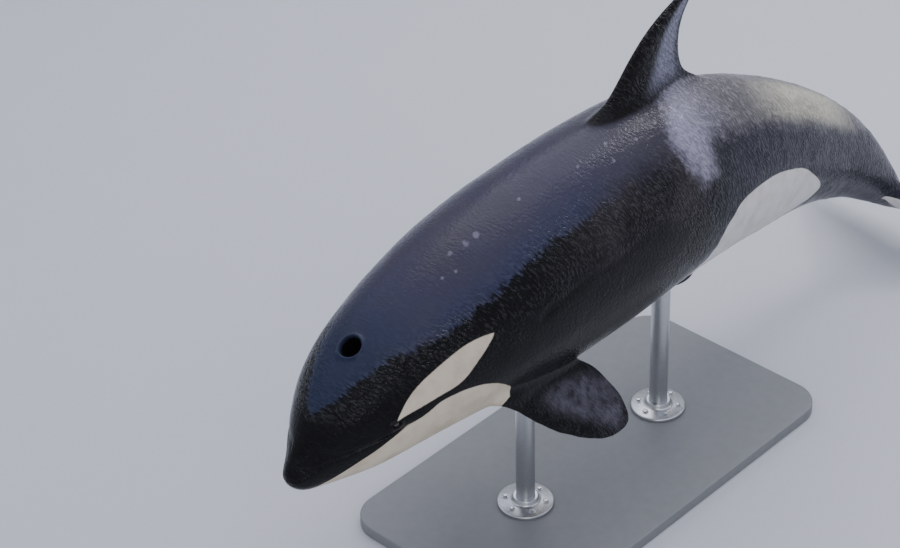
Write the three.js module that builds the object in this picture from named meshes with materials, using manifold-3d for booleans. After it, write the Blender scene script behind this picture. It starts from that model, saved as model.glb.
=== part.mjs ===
// Orca, life size, leaping nose down with its tail curled under, on a plain display stand.
// Millimetres, +Z up. The nose points to -Y and the animal's left side is at +X.
// The origin is the centre of the underside of the stand's base.
//
// The body is a loft of rings round a bent spine. A place on it is a station, the share of
// LENGTH from the tip of the snout, and an angle round the ring, 0 at the left side and
// 90 degrees at the back. Heights are taken from the spine, square to it.

import * as THREE from 'three';
import { mergeVertices } from 'three/addons/utils/BufferGeometryUtils.js';
import Module from 'manifold-3d';

const wasm = await Module();
wasm.setup();

// Driving dimensions
const LENGTH = 5000; // tip of the snout to the notch between the flukes
const GAP = 0.3; // kept between solids that touch
const SPINE_HEIGHT = 1430; // height of the spine over the floor at REFERENCE_STATION
const REFERENCE_STATION = 0.4; // the station over the origin
const RING_POINTS = 48;

// Body lines in thousandths of LENGTH: station, back, belly, half breadth
const BODY_LINES = [
  [0, -33, -33, 0],
  [5, -23, -45, 10],
  [12, -17, -51, 14.5],
  [20, -9, -54, 19.5],
  [28, 1, -56, 25.5],
  [45, 21, -60, 37],
  [70, 40, -65, 51],
  [100, 56, -70, 60],
  [135, 68, -78, 66],
  [175, 78, -88, 71],
  [230, 88, -98, 77],
  [300, 96, -105, 80],
  [380, 99, -107, 80],
  [460, 97, -103, 77],
  [540, 90, -95, 70],
  [620, 78, -84, 59],
  [700, 63, -70, 45],
  [780, 47, -54, 31],
  [850, 34, -38, 21],
  [910, 23, -25, 14],
  [950, 15, -16, 10],
  [980, 8, -8, 7],
  [1000, 3, -3, 3],
];
const WIDEST_POINT = 0.45; // height of the widest level between belly and back

// Pitch of the spine: station in thousandths, degrees by which the way forward points up
const SPINE_PITCH = [
  [0, -9],
  [150, -9],
  [260, -0.5],
  [400, 0],
  [550, 14],
  [700, 24],
  [800, 35],
  [900, 46],
  [1000, 47],
];

// Keel of the tail stock: the power of the ring's outline, 2 being an ellipse
const KEEL_POWERS = [
  [0, 2],
  [600, 2],
  [820, 1.75],
  [950, 1.8],
  [1000, 2],
];

// Stations of the cuts between the body's nodes
const NECK = 0.175;
const CHEST_END = 0.33;
const MIDBODY_END = 0.53;
const LOIN_END = 0.7;
const STOCK_END = 0.994;
const RING_SPACING = 0.021; // of the trunk's rings, as a share of LENGTH

// Mouth line on the side of the head: distance behind the snout's tip, height from the spine
const MOUTH_LINE = [
  [0, -165],
  [30, -151],
  [80, -128],
  [140, -104],
  [225, -74],
  [323, -54],
  [395, -49],
  [460, -50],
  [505, -52],
  [700, -40],
  [875, -30],
];
const GAPE = 505; // where the lips end
const JAW_REAR = [
  [532, -80],
  [560, -140],
  [585, -220],
  [600, -330],
  [600, -700],
];
const LIP_GROOVE = 8;
const LIP_RIDGE = 4;
const LIP_WIDTH = 17;
const HEAD_STATIONS = [
  0.0012, 0.003, 0.006, 0.01, 0.0145, 0.02, 0.026, 0.032, 0.039, 0.046, 0.054, 0.062, 0.07,
  0.078, 0.086, 0.094, 0.102, 0.11, 0.12, 0.13, 0.1425, 0.155, 0.165, NECK,
];
const CROWN_STEPS = 28; // ring steps above the lips
const CHIN_STEPS = 14; // ring steps below the lips

// Eyes
const EYE_STATION = 0.083;
const EYE_ANGLE = 12;
const EYE_RADIUS = 23;
const EYE_SUNK = 17; // depth of the eyeball's centre under the skin
const LID_SIZE = [12, 46, 31]; // half sizes of the swelling of the lids: out, along, up
const LID_OPENING = [19, 12]; // half length and half height of the slit between the lids

// Blowhole
const BLOWHOLE_STATION = 0.0923;
const BLOWHOLE_OFFSET = 20; // to the left of the midline
const BLOWHOLE_SIZE = [33, 40]; // half length and half breadth
const BLOWHOLE_DEPTH = 52;
const BLOWHOLE_RIM = 17; // breadth of the swollen rim
const BLOWHOLE_RIM_HEIGHT = 7;

// Dorsal fin: height over the spine, leading edge, trailing edge, half thickness
const DORSAL_LEVELS = [
  [380, -190, 770, 78],
  [440, -110, 690, 60],
  [480, -58, 628, 49],
  [512, -14, 600, 43],
  [552, 62, 584, 39],
  [596, 119, 572, 36],
  [670, 188, 566, 31],
  [743, 266, 576, 26],
  [811, 358, 606, 21],
  [859, 455, 645, 16],
  [889, 535, 676, 12],
  [912, 606, 700, 8],
  [926, 668, 712, 4],
];

// Flippers, each a paddle swept back and down from the flank
const FLIPPER_LENGTH = 652;
const FLIPPER_WIDTH = 350;
const FLIPPER_ROOT_STATION = 0.2305;
const FLIPPER_ROOT_ANGLE = -39;
const FLIPPER_OUTWARD = 20; // degrees out from straight back
const FLIPPER_DROP = 34; // degrees down
const FLIPPER_TWIST = -12;
// Share of the length from root to tip, leading and trailing edge in widths, half thickness
const FLIPPER_OUTLINE = [
  [-0.16, 0.26, -0.3, 44],
  [0, 0.32, -0.37, 35],
  [0.15, 0.38, -0.5, 30],
  [0.35, 0.44, -0.6, 26],
  [0.6, 0.42, -0.58, 20],
  [0.8, 0.34, -0.43, 14],
  [0.92, 0.215, -0.27, 9],
  [0.98, 0.105, -0.13, 6],
  [1, 0.03, -0.03, 4],
];

// Flukes, in the frame of the spine at FLUKE_STATION
const FLUKE_STATION = 0.95;
const FLUKE_DROOP = 36; // drop of the tips
// Distance from the midline, leading and trailing edge behind the station, half thickness
const FLUKE_OUTLINE = [
  [4, -262, 222, 62],
  [40, -215, 238, 54],
  [80, -170, 250, 44],
  [140, -112, 262, 34],
  [220, -48, 268, 27],
  [320, 26, 270, 21],
  [420, 98, 276, 17],
  [510, 168, 290, 13],
  [580, 228, 304, 9],
  [630, 284, 320, 6],
  [650, 318, 332, 4],
];

// Stand
const BASE_LENGTH = 2200;
const BASE_WIDTH = 1150;
const BASE_THICKNESS = 60;
const BASE_CORNER = 160;
const BASE_BEVEL = 8;
const ROD_RADIUS = 45;
const FOOT_RADIUS = 135;
const FOOT_HEIGHT = 46;
const CRADLE_RADIUS = 150;
const CRADLE_DEPTH = 70; // of the cradle under the belly's lowest point
const ROD_PLACES = { front: -480, rear: 500 };

const WHOLE_TURN = 2 * Math.PI;
const radians = THREE.MathUtils.degToRad;

// Monotone cubic through the rows of a table, from one column to another
function curveThrough(table, column, from = 0, bend = (x) => x) {
  const xs = table.map((row) => bend(row[from]));
  const ys = table.map((row) => row[column]);
  const last = xs.length - 1;
  const steps = xs.slice(1).map((x, i) => x - xs[i]);
  const rises = steps.map((step, i) => (ys[i + 1] - ys[i]) / step);
  const slopes = ys.map((_, i) => {
    if (i === 0) return rises[0];
    if (i === last) return rises[last - 1];
    if (rises[i - 1] * rises[i] <= 0) return 0;
    const w1 = 2 * steps[i] + steps[i - 1];
    const w2 = steps[i] + 2 * steps[i - 1];
    return (w1 + w2) / (w1 / rises[i - 1] + w2 / rises[i]);
  });
  return (value) => {
    const x = THREE.MathUtils.clamp(bend(value), xs[0], xs[last]);
    const found = xs.findIndex((edge, i) => i > 0 && x <= edge);
    const i = found - 1;
    const t = (x - xs[i]) / steps[i];
    const rise = ys[i + 1] - ys[i];
    const a = slopes[i] * steps[i] - rise;
    const b = rise - slopes[i + 1] * steps[i];
    return ys[i] + t * rise + t * (1 - t) * (a * (1 - t) + b * t);
  };
}

const backLine = curveThrough(BODY_LINES, 1, 0, Math.sqrt);
const bellyLine = curveThrough(BODY_LINES, 2, 0, Math.sqrt);
const breadthLine = curveThrough(BODY_LINES, 3, 0, Math.sqrt);
const pitchLine = curveThrough(SPINE_PITCH, 1);
const keelLine = curveThrough(KEEL_POWERS, 1);
const mouthHeight = curveThrough(MOUTH_LINE, 1);

const SIDEWAYS = new THREE.Vector3(1, 0, 0);

function spineDirections(station) {
  const pitch = radians(pitchLine(station * 1000));
  return {
    forward: new THREE.Vector3(0, -Math.cos(pitch), Math.sin(pitch)),
    up: new THREE.Vector3(0, Math.sin(pitch), Math.cos(pitch)),
  };
}

// Points of the spine at even steps, summed up from its pitch and set over the origin
const SPINE_STEPS = 1000;
const spinePoints = [new THREE.Vector3()];
for (let i = 1; i <= SPINE_STEPS; i++) {
  const { forward } = spineDirections((i - 0.5) / SPINE_STEPS);
  const step = forward.multiplyScalar(-LENGTH / SPINE_STEPS);
  spinePoints.push(spinePoints[i - 1].clone().add(step));
}
const spineShift = new THREE.Vector3(0, 0, SPINE_HEIGHT);
spineShift.sub(spinePoints[REFERENCE_STATION * SPINE_STEPS]);
spinePoints.forEach((point) => point.add(spineShift));

function spineAt(station) {
  const place = THREE.MathUtils.clamp(station, 0, 1) * SPINE_STEPS;
  const i = Math.min(Math.floor(place), SPINE_STEPS - 1);
  const point = spinePoints[i].clone().lerp(spinePoints[i + 1], place - i);
  return { point, ...spineDirections(station) };
}

// Half breadth, back, belly and the level of the greatest breadth, in millimetres
function sectionSizes(station, grow = 0) {
  const scale = LENGTH / 1000;
  const thousandths = station * 1000;
  const back = backLine(thousandths) * scale + grow;
  const belly = bellyLine(thousandths) * scale - grow;
  return {
    half: breadthLine(thousandths) * scale + grow,
    back,
    belly,
    middle: belly + WIDEST_POINT * (back - belly),
    power: keelLine(thousandths),
  };
}

function sectionPoint(station, angle, grow = 0) {
  const { half, back, belly, middle, power } = sectionSizes(station, grow);
  const across = Math.cos(angle);
  const along = Math.sin(angle);
  const x = half * Math.sign(across) * Math.abs(across) ** (2 / power);
  const reach = along >= 0 ? back - middle : middle - belly;
  const z = middle + reach * Math.sign(along) * Math.abs(along) ** (2 / power);
  return { x, z };
}

function placeOnStation(station, x, z) {
  const { point, up } = spineAt(station);
  return point.addScaledVector(SIDEWAYS, x).addScaledVector(up, z);
}

function skinPoint(station, angle, grow = 0) {
  const { x, z } = sectionPoint(station, angle, grow);
  return placeOnStation(station, x, z);
}

// Frame on the skin: its point, the way out and the way forward
function skinFrame(station, angle) {
  const point = skinPoint(station, angle);
  const ahead = skinPoint(station - 0.002, angle).sub(skinPoint(station + 0.002, angle)).normalize();
  const round = skinPoint(station, angle + 0.01).sub(skinPoint(station, angle - 0.01)).normalize();
  const out = new THREE.Vector3().crossVectors(round, ahead).normalize();
  const centre = spineAt(station).point;
  if (out.dot(point.clone().sub(centre)) < 0) out.negate();
  return { point, out, ahead };
}

// Geometry helpers

function signedVolume(positions, indices) {
  const [a, b, c] = [new THREE.Vector3(), new THREE.Vector3(), new THREE.Vector3()];
  let volume = 0;
  for (let i = 0; i < indices.length; i += 3) {
    a.fromArray(positions, 3 * indices[i]);
    b.fromArray(positions, 3 * indices[i + 1]);
    c.fromArray(positions, 3 * indices[i + 2]);
    volume += a.dot(b.cross(c)) / 6;
  }
  return volume;
}

function closedGeometry(points, triangles) {
  const positions = points.flatMap((point) => point.toArray());
  const flat = triangles.flat();
  if (signedVolume(positions, flat) < 0) {
    triangles.forEach((triangle) => triangle.reverse());
  }
  const geometry = new THREE.BufferGeometry();
  geometry.setAttribute('position', new THREE.Float32BufferAttribute(positions, 3));
  geometry.setIndex(triangles.flat());
  return geometry;
}

// Closed skin over rings of equal length, with an end point in front and behind
function loft(rings, start, end) {
  const count = rings[0].length;
  const points = [...rings.flat(), start, end];
  const startIndex = points.length - 2;
  const endIndex = points.length - 1;
  const lastRing = (rings.length - 1) * count;
  const triangles = [];
  for (let k = 0; k < count; k++) {
    const next = (k + 1) % count;
    triangles.push([startIndex, next, k]);
    for (let r = 0; r < rings.length - 1; r++) {
      const here = r * count;
      const beyond = here + count;
      triangles.push([here + k, here + next, beyond + k]);
      triangles.push([here + next, beyond + next, beyond + k]);
    }
    triangles.push([endIndex, lastRing + k, lastRing + next]);
  }
  return closedGeometry(points, triangles);
}

function middleOf(ring) {
  const sum = new THREE.Vector3();
  ring.forEach((point) => sum.add(point));
  return sum.divideScalar(ring.length);
}

function loftWithFlatEnds(rings) {
  return loft(rings, middleOf(rings[0]), middleOf(rings[rings.length - 1]));
}

function asSolid(geometry) {
  const bare = geometry.clone();
  bare.deleteAttribute('normal');
  bare.deleteAttribute('uv');
  const merged = mergeVertices(bare, 1e-3);
  const vertProperties = new Float32Array(merged.attributes.position.array);
  const triVerts = new Uint32Array(merged.index.array);
  return new wasm.Manifold(new wasm.Mesh({ numProp: 3, vertProperties, triVerts }));
}

// The largest closed surface of a solid, as a geometry
function asGeometry(solid) {
  const pieces = solid.decompose().sort((a, b) => b.volume() - a.volume());
  const mesh = pieces[0].getMesh();
  const positions = new Float32Array(mesh.triVerts.length * 3);
  mesh.triVerts.forEach((vertex, i) => {
    const start = vertex * mesh.numProp;
    positions.set(mesh.vertProperties.subarray(start, start + 3), 3 * i);
  });
  const geometry = new THREE.BufferGeometry();
  geometry.setAttribute('position', new THREE.BufferAttribute(positions, 3));
  geometry.computeVertexNormals();
  return geometry;
}

// Sphere stretched along two directions and square to both
function ellipsoid(centre, first, second, sizes, segments) {
  const geometry = new THREE.SphereGeometry(1, segments, segments / 2);
  geometry.scale(...sizes);
  const third = new THREE.Vector3().crossVectors(first, second);
  geometry.applyMatrix4(new THREE.Matrix4().makeBasis(first, second, third));
  geometry.translate(centre.x, centre.y, centre.z);
  return geometry;
}

// Foil sections: half thickness as a share of the greatest, along the chord
function foilThickness(share) {
  return (Math.sqrt(share) * (1 - share)) / 0.385;
}

const FOIL_STEPS = 9; // chord steps on each side
const EDGE_HALF = 2.5; // half thickness of the trailing edge

// One ring of a fin, from its leading edge over one face and back over the other
function foilRing(lead, trail, side, half) {
  const ring = [];
  for (let k = 0; k < 2 * FOIL_STEPS; k++) {
    const around = (k / FOIL_STEPS) * Math.PI;
    const share = (1 - Math.cos(around)) / 2;
    const thick = half * foilThickness(share) + EDGE_HALF * Math.sqrt(share);
    const offset = Math.sin(around) === 0 || k === FOIL_STEPS ? 0 : Math.sign(Math.sin(around)) * thick;
    ring.push(lead.clone().lerp(trail, share).addScaledVector(side, k === 0 ? 0 : offset));
  }
  return ring;
}

// Body rings

function trunkRing(station, grow = 0) {
  const ring = [];
  for (let k = 0; k < RING_POINTS; k++) {
    ring.push(skinPoint(station, (k / RING_POINTS) * WHOLE_TURN, grow));
  }
  return ring;
}

function stationsBetween(first, last) {
  const steps = Math.ceil((last - first) / RING_SPACING);
  return Array.from({ length: steps + 1 }, (_, i) => first + ((last - first) * i) / steps);
}

function trunkGeometry(first, last) {
  const margin = GAP / 2 / LENGTH;
  const stations = stationsBetween(first, last);
  stations[0] += margin;
  stations[stations.length - 1] -= margin;
  return loftWithFlatEnds(stations.map((station) => trunkRing(station)));
}

// The body from the neck to the tail, grown by the gap, which cuts what grows from it
function grownTrunk() {
  const cuts = [NECK, CHEST_END, MIDBODY_END, LOIN_END, STOCK_END];
  const stations = cuts.slice(1).flatMap((cut, i) => stationsBetween(cuts[i], cut).slice(1));
  return asSolid(loftWithFlatEnds([NECK, ...stations].map((station) => trunkRing(station, GAP))));
}

// Head

// Angle on the left side of the ring at which the skin has a height
function angleAtHeight(station, height) {
  const { back, belly, middle } = sectionSizes(station);
  const reach = height >= middle ? back - middle : middle - belly;
  return Math.asin(THREE.MathUtils.clamp((height - middle) / reach, -0.98, 0.98));
}

// How far the lips are raised and cut in: whole along the mouth, none past its corner
function lipStrength(station) {
  const behind = station * LENGTH;
  return 1 - THREE.MathUtils.smoothstep(behind, GAPE - 45, GAPE + 25);
}

function headRing(station) {
  const mouth = angleAtHeight(station, mouthHeight(station * LENGTH));
  const { half, back, belly } = sectionSizes(station);
  const radius = Math.min(half, (back - belly) / 2);
  const lip = Math.min(LIP_WIDTH / radius, 0.32);
  const strength = lipStrength(station) * Math.min(1, radius / 70);
  const right = Math.PI - mouth;
  const crownSweep = right - lip - (mouth + lip);
  const chinSweep = WHOLE_TURN + mouth - lip - (right + lip);
  const marks = [{ angle: mouth, push: -LIP_GROOVE }];
  for (let k = 0; k <= CROWN_STEPS; k++) {
    const isEdge = k === 0 || k === CROWN_STEPS;
    marks.push({
      angle: mouth + lip + (crownSweep * k) / CROWN_STEPS,
      push: isEdge ? LIP_RIDGE : 0,
    });
  }
  marks.push({ angle: right, push: -LIP_GROOVE });
  for (let k = 0; k <= CHIN_STEPS; k++) {
    const isEdge = k === 0 || k === CHIN_STEPS;
    marks.push({
      angle: right + lip + (chinSweep * k) / CHIN_STEPS,
      push: isEdge ? LIP_RIDGE : 0,
    });
  }
  return marks.map(({ angle, push }) => {
    const { x, z } = sectionPoint(station, angle);
    const shrink = 1 + (push * strength) / Math.max(Math.abs(x), 1);
    return placeOnStation(station, push === 0 ? x : x * shrink, z);
  });
}

// Side view of the lower jaw, swept across the head, moved away from the head by a margin
function jawBlock(margin) {
  const outline = [[-60, -800], [-60, MOUTH_LINE[0][1] - margin]];
  const stations = [0, ...HEAD_STATIONS].filter((station) => station * LENGTH < GAPE);
  stations.forEach((station) => {
    const behind = station * LENGTH;
    outline.push([behind, mouthHeight(behind) - margin]);
  });
  outline.push([GAPE, mouthHeight(GAPE) - margin]);
  JAW_REAR.forEach(([behind, height]) => outline.push([behind - margin, height - margin]));
  outline.push([JAW_REAR[JAW_REAR.length - 1][0] - margin, -800]);
  const shape = new THREE.Shape(outline.map(([behind, height]) => new THREE.Vector2(behind, height)));
  const breadth = 1200;
  const block = new THREE.ExtrudeGeometry(shape, { depth: breadth, bevelEnabled: false });
  block.translate(0, 0, -breadth / 2);
  const { point, forward, up } = spineAt(0);
  const backward = forward.clone().negate();
  const across = new THREE.Vector3().crossVectors(backward, up);
  block.applyMatrix4(new THREE.Matrix4().makeBasis(backward, up, across));
  block.translate(point.x, point.y, point.z);
  return asSolid(block);
}

function eyePlace(side) {
  const angle = radians(EYE_ANGLE);
  const frame = skinFrame(EYE_STATION, side > 0 ? angle : Math.PI - angle);
  const centre = frame.point.clone().addScaledVector(frame.out, -EYE_SUNK);
  return { ...frame, centre };
}

function eyeball(side, radius) {
  const { out, ahead, centre } = eyePlace(side);
  return ellipsoid(centre, out, ahead, [radius, radius, radius], 20);
}

function withLids(head, side) {
  const { point, out, ahead } = eyePlace(side);
  const lidCentre = point.clone().addScaledVector(out, -2);
  const slitCentre = point.clone().addScaledVector(out, 16);
  const swelling = asSolid(ellipsoid(lidCentre, out, ahead, LID_SIZE, 22));
  const socket = asSolid(eyeball(side, EYE_RADIUS + GAP));
  const opening = asSolid(ellipsoid(slitCentre, out, ahead, [30, ...LID_OPENING], 18));
  return head.add(swelling).subtract(socket).subtract(opening);
}

function withBlowhole(head) {
  const { half } = sectionSizes(BLOWHOLE_STATION);
  const { point, out, ahead } = skinFrame(BLOWHOLE_STATION, Math.acos(BLOWHOLE_OFFSET / half));
  const [length, breadth] = BLOWHOLE_SIZE;
  const rimSizes = [2 * BLOWHOLE_RIM_HEIGHT, length + BLOWHOLE_RIM, breadth + BLOWHOLE_RIM];
  const rimCentre = point.clone().addScaledVector(out, -BLOWHOLE_RIM_HEIGHT);
  const rim = asSolid(ellipsoid(rimCentre, out, ahead, rimSizes, 28));
  const well = asSolid(ellipsoid(point, out, ahead, [BLOWHOLE_DEPTH, length, breadth], 24));
  return head.add(rim).subtract(well);
}

function headSolid() {
  const stations = [...HEAD_STATIONS];
  stations[stations.length - 1] -= GAP / 2 / LENGTH;
  const rings = stations.map(headRing);
  return asSolid(loft(rings, skinPoint(0, 0), middleOf(rings[rings.length - 1])));
}

// Fins

function dorsalGeometry(trunk) {
  const rings = DORSAL_LEVELS.map(([height, lead, trail, half]) => {
    const level = SPINE_HEIGHT + height;
    return foilRing(
      new THREE.Vector3(0, lead, level),
      new THREE.Vector3(0, trail, level),
      SIDEWAYS,
      half,
    );
  });
  return asGeometry(asSolid(loftWithFlatEnds(rings)).subtract(trunk));
}

function flipperGeometry(side, trunk) {
  const out = radians(FLIPPER_OUTWARD);
  const drop = radians(FLIPPER_DROP);
  const span = new THREE.Vector3(
    Math.cos(drop) * Math.sin(out),
    Math.cos(drop) * Math.cos(out),
    -Math.sin(drop),
  );
  const chord = new THREE.Vector3(0, -1, 0);
  chord.addScaledVector(span, -chord.dot(span)).normalize();
  chord.applyAxisAngle(span, radians(FLIPPER_TWIST));
  const face = new THREE.Vector3().crossVectors(span, chord);
  const root = skinPoint(FLIPPER_ROOT_STATION, radians(FLIPPER_ROOT_ANGLE));
  const rings = FLIPPER_OUTLINE.map(([share, lead, trail, half]) => {
    const centre = root.clone().addScaledVector(span, share * FLIPPER_LENGTH);
    const front = centre.clone().addScaledVector(chord, lead * FLIPPER_WIDTH);
    const rear = centre.clone().addScaledVector(chord, trail * FLIPPER_WIDTH);
    return foilRing(front, rear, face, half);
  });
  const mirror = new THREE.Vector3(side, 1, 1);
  rings.flat().forEach((point) => point.multiply(mirror));
  return asGeometry(asSolid(loftWithFlatEnds(rings)).subtract(trunk));
}

function flukeGeometry(side, trunk) {
  const { point, forward, up } = spineAt(FLUKE_STATION);
  const reach = FLUKE_OUTLINE[FLUKE_OUTLINE.length - 1][0];
  const rings = FLUKE_OUTLINE.map(([away, lead, trail, half]) => {
    const droop = -FLUKE_DROOP * (away / reach) ** 2;
    const middle = point.clone().addScaledVector(SIDEWAYS, side * away).addScaledVector(up, droop);
    const front = middle.clone().addScaledVector(forward, -lead);
    const rear = middle.clone().addScaledVector(forward, -trail);
    return foilRing(front, rear, up, half);
  });
  return asGeometry(asSolid(loftWithFlatEnds(rings)).subtract(trunk));
}

// Stand

function roundedPlate(width, length, corner, thickness, bevel) {
  const [x, y] = [width / 2 - bevel, length / 2 - bevel];
  const shape = new THREE.Shape();
  shape.moveTo(-x + corner, -y);
  shape.lineTo(x - corner, -y);
  shape.absarc(x - corner, -y + corner, corner, -Math.PI / 2, 0);
  shape.lineTo(x, y - corner);
  shape.absarc(x - corner, y - corner, corner, 0, Math.PI / 2);
  shape.lineTo(-x + corner, y);
  shape.absarc(-x + corner, y - corner, corner, Math.PI / 2, Math.PI);
  shape.lineTo(-x, -y + corner);
  shape.absarc(-x + corner, -y + corner, corner, Math.PI, 1.5 * Math.PI);
  const plate = new THREE.ExtrudeGeometry(shape, {
    depth: thickness - 2 * bevel,
    bevelThickness: bevel,
    bevelSize: bevel,
    bevelSegments: 1,
    curveSegments: 7,
  });
  plate.translate(0, 0, bevel);
  return plate;
}

// Turned piece from a closed outline of radius and height pairs
function turned(outline, segments) {
  const closed = [...outline, outline[0]].map(([radius, height]) => new THREE.Vector2(radius, height));
  const geometry = new THREE.LatheGeometry(closed, segments);
  geometry.rotateX(Math.PI / 2);
  return geometry;
}

// Height of the belly on the midline at a place along the floor
function bellyHeight(y) {
  let [near, far] = [0, LOIN_END];
  for (let i = 0; i < 40; i++) {
    const middle = (near + far) / 2;
    const belly = placeOnStation(middle, 0, sectionSizes(middle).belly);
    if (belly.y < y) near = middle;
    else far = middle;
  }
  return placeOnStation(near, 0, sectionSizes(near).belly).z;
}

function standParts(name, y, trunk, materials) {
  const cradleFloor = bellyHeight(y) - CRADLE_DEPTH;
  const footFloor = BASE_THICKNESS + GAP;
  const rodLength = cradleFloor - GAP - footFloor;
  const rod = new THREE.CylinderGeometry(ROD_RADIUS, ROD_RADIUS, rodLength, 32);
  rod.rotateX(Math.PI / 2);
  rod.translate(0, y, footFloor + rodLength / 2);
  const bore = ROD_RADIUS + GAP;
  const foot = turned(
    [
      [bore, footFloor],
      [FOOT_RADIUS, footFloor],
      [FOOT_RADIUS, footFloor + 14],
      [FOOT_RADIUS - 5, footFloor + 19],
      [bore + 22, footFloor + 24],
      [bore + 14, footFloor + FOOT_HEIGHT],
      [bore, footFloor + FOOT_HEIGHT],
    ],
    28,
  );
  foot.translate(0, y, 0);
  const cradleBlank = turned(
    [
      [0, cradleFloor],
      [ROD_RADIUS + 22, cradleFloor],
      [CRADLE_RADIUS - 30, cradleFloor + 28],
      [CRADLE_RADIUS, cradleFloor + 48],
      [CRADLE_RADIUS, cradleFloor + 150],
      [0, cradleFloor + 150],
    ],
    40,
  );
  cradleBlank.translate(0, y, 0);
  const cradle = asGeometry(asSolid(cradleBlank).subtract(trunk));
  return [
    named(`stand_rod_${name}`, rod, materials.steel),
    named(`stand_foot_${name}`, foot, materials.steel),
    named(`stand_cradle_${name}`, cradle, materials.pad),
  ];
}

function named(name, geometry, look) {
  const mesh = new THREE.Mesh(geometry, new THREE.MeshStandardMaterial(look));
  mesh.name = name;
  return mesh;
}

const LOOKS = {
  black: { color: 0x17181d, roughness: 0.3, metalness: 0 },
  white: { color: 0xd6cfbe, roughness: 0.35, metalness: 0 },
  eye: { color: 0x120d0b, roughness: 0.08, metalness: 0 },
  plinth: { color: 0x6f7274, roughness: 0.6, metalness: 0 },
  steel: { color: 0xb4b6b8, roughness: 0.3, metalness: 1 },
  pad: { color: 0x2a2b2d, roughness: 0.8, metalness: 0 },
};

function buildOrca() {
  const orca = new THREE.Group();
  const trunk = grownTrunk();
  const plainHead = headSolid();
  const opened = withBlowhole(withLids(withLids(plainHead, 1), -1));
  const head = opened.subtract(jawBlock(-GAP / 2));
  orca.add(named('head', asGeometry(head), LOOKS.black));
  orca.add(named('lower_jaw', asGeometry(plainHead.intersect(jawBlock(GAP / 2))), LOOKS.white));
  Object.entries({ left: 1, right: -1 }).forEach(([name, side]) => {
    orca.add(named(`eye_${name}`, eyeball(side, EYE_RADIUS), LOOKS.eye));
    orca.add(named(`flipper_${name}`, flipperGeometry(side, trunk), LOOKS.black));
    orca.add(named(`fluke_${name}`, flukeGeometry(side, trunk), LOOKS.black));
  });
  orca.add(named('chest', trunkGeometry(NECK, CHEST_END), LOOKS.black));
  orca.add(named('midbody', trunkGeometry(CHEST_END, MIDBODY_END), LOOKS.black));
  orca.add(named('loin', trunkGeometry(MIDBODY_END, LOIN_END), LOOKS.black));
  orca.add(named('tail_stock', trunkGeometry(LOIN_END, STOCK_END), LOOKS.black));
  orca.add(named('dorsal_fin', dorsalGeometry(trunk), LOOKS.black));
  const plinth = roundedPlate(BASE_WIDTH, BASE_LENGTH, BASE_CORNER, BASE_THICKNESS, BASE_BEVEL);
  orca.add(named('stand_base', plinth, LOOKS.plinth));
  Object.entries(ROD_PLACES).forEach(([name, y]) => {
    standParts(name, y, trunk, LOOKS).forEach((part) => orca.add(part));
  });
  return orca;
}

export default buildOrca();
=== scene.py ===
"""Life-size orca in a leap on a plain display stand.

One continuous skin covers the body, fins and flukes. The eyes and the stand are pieces of
their own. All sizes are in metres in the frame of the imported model: the nose points to -Y,
the animal's left side is at +X and the floor is at z = 0.
"""

import logging
import math
from dataclasses import dataclass, field
from enum import Enum
from typing import Callable, Iterable, Sequence

import bmesh
import bpy
import numpy as np
from mathutils import Matrix, Vector, noise
from mathutils.bvhtree import BVHTree


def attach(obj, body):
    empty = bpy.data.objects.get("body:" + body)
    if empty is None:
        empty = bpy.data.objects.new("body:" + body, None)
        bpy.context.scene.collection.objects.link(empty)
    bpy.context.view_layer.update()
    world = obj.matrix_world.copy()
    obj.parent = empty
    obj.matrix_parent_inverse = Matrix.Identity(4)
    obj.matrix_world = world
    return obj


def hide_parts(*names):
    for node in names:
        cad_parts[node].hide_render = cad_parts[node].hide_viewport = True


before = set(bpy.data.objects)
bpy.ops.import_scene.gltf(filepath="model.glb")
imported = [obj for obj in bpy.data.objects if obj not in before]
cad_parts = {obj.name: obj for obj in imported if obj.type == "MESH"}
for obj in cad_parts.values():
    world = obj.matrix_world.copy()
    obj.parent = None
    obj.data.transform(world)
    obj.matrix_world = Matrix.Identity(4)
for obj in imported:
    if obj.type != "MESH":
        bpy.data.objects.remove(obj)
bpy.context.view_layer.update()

LOG = logging.getLogger("orca")

Place = tuple[float, float]
Triple = tuple[float, float, float]
Places = tuple[Place, ...]
Table = tuple[tuple[float, ...], ...]
GridIndex = tuple[int, int]
Array = np.ndarray
Object = bpy.types.Object
Mesh = bpy.types.Mesh
Material = bpy.types.Material
Socket = bpy.types.NodeSocket
Shape = bmesh.types.BMesh
Vert = bmesh.types.BMVert
Edge = bmesh.types.BMEdge

FoilEdges = tuple[Vector, Vector, Vector, float]
RingRule = Callable[[GridIndex], Vector]
HeightRule = Callable[[float, float], float]

SIDEWAYS = Vector((1.0, 0.0, 0.0))


class Side(Enum):
    """The animal's two sides, by the sign of X."""

    LEFT = 1
    RIGHT = -1

    @property
    def label(self) -> str:
        """The side's name in lower case, as node names use it."""
        return self.name.lower()


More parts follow.
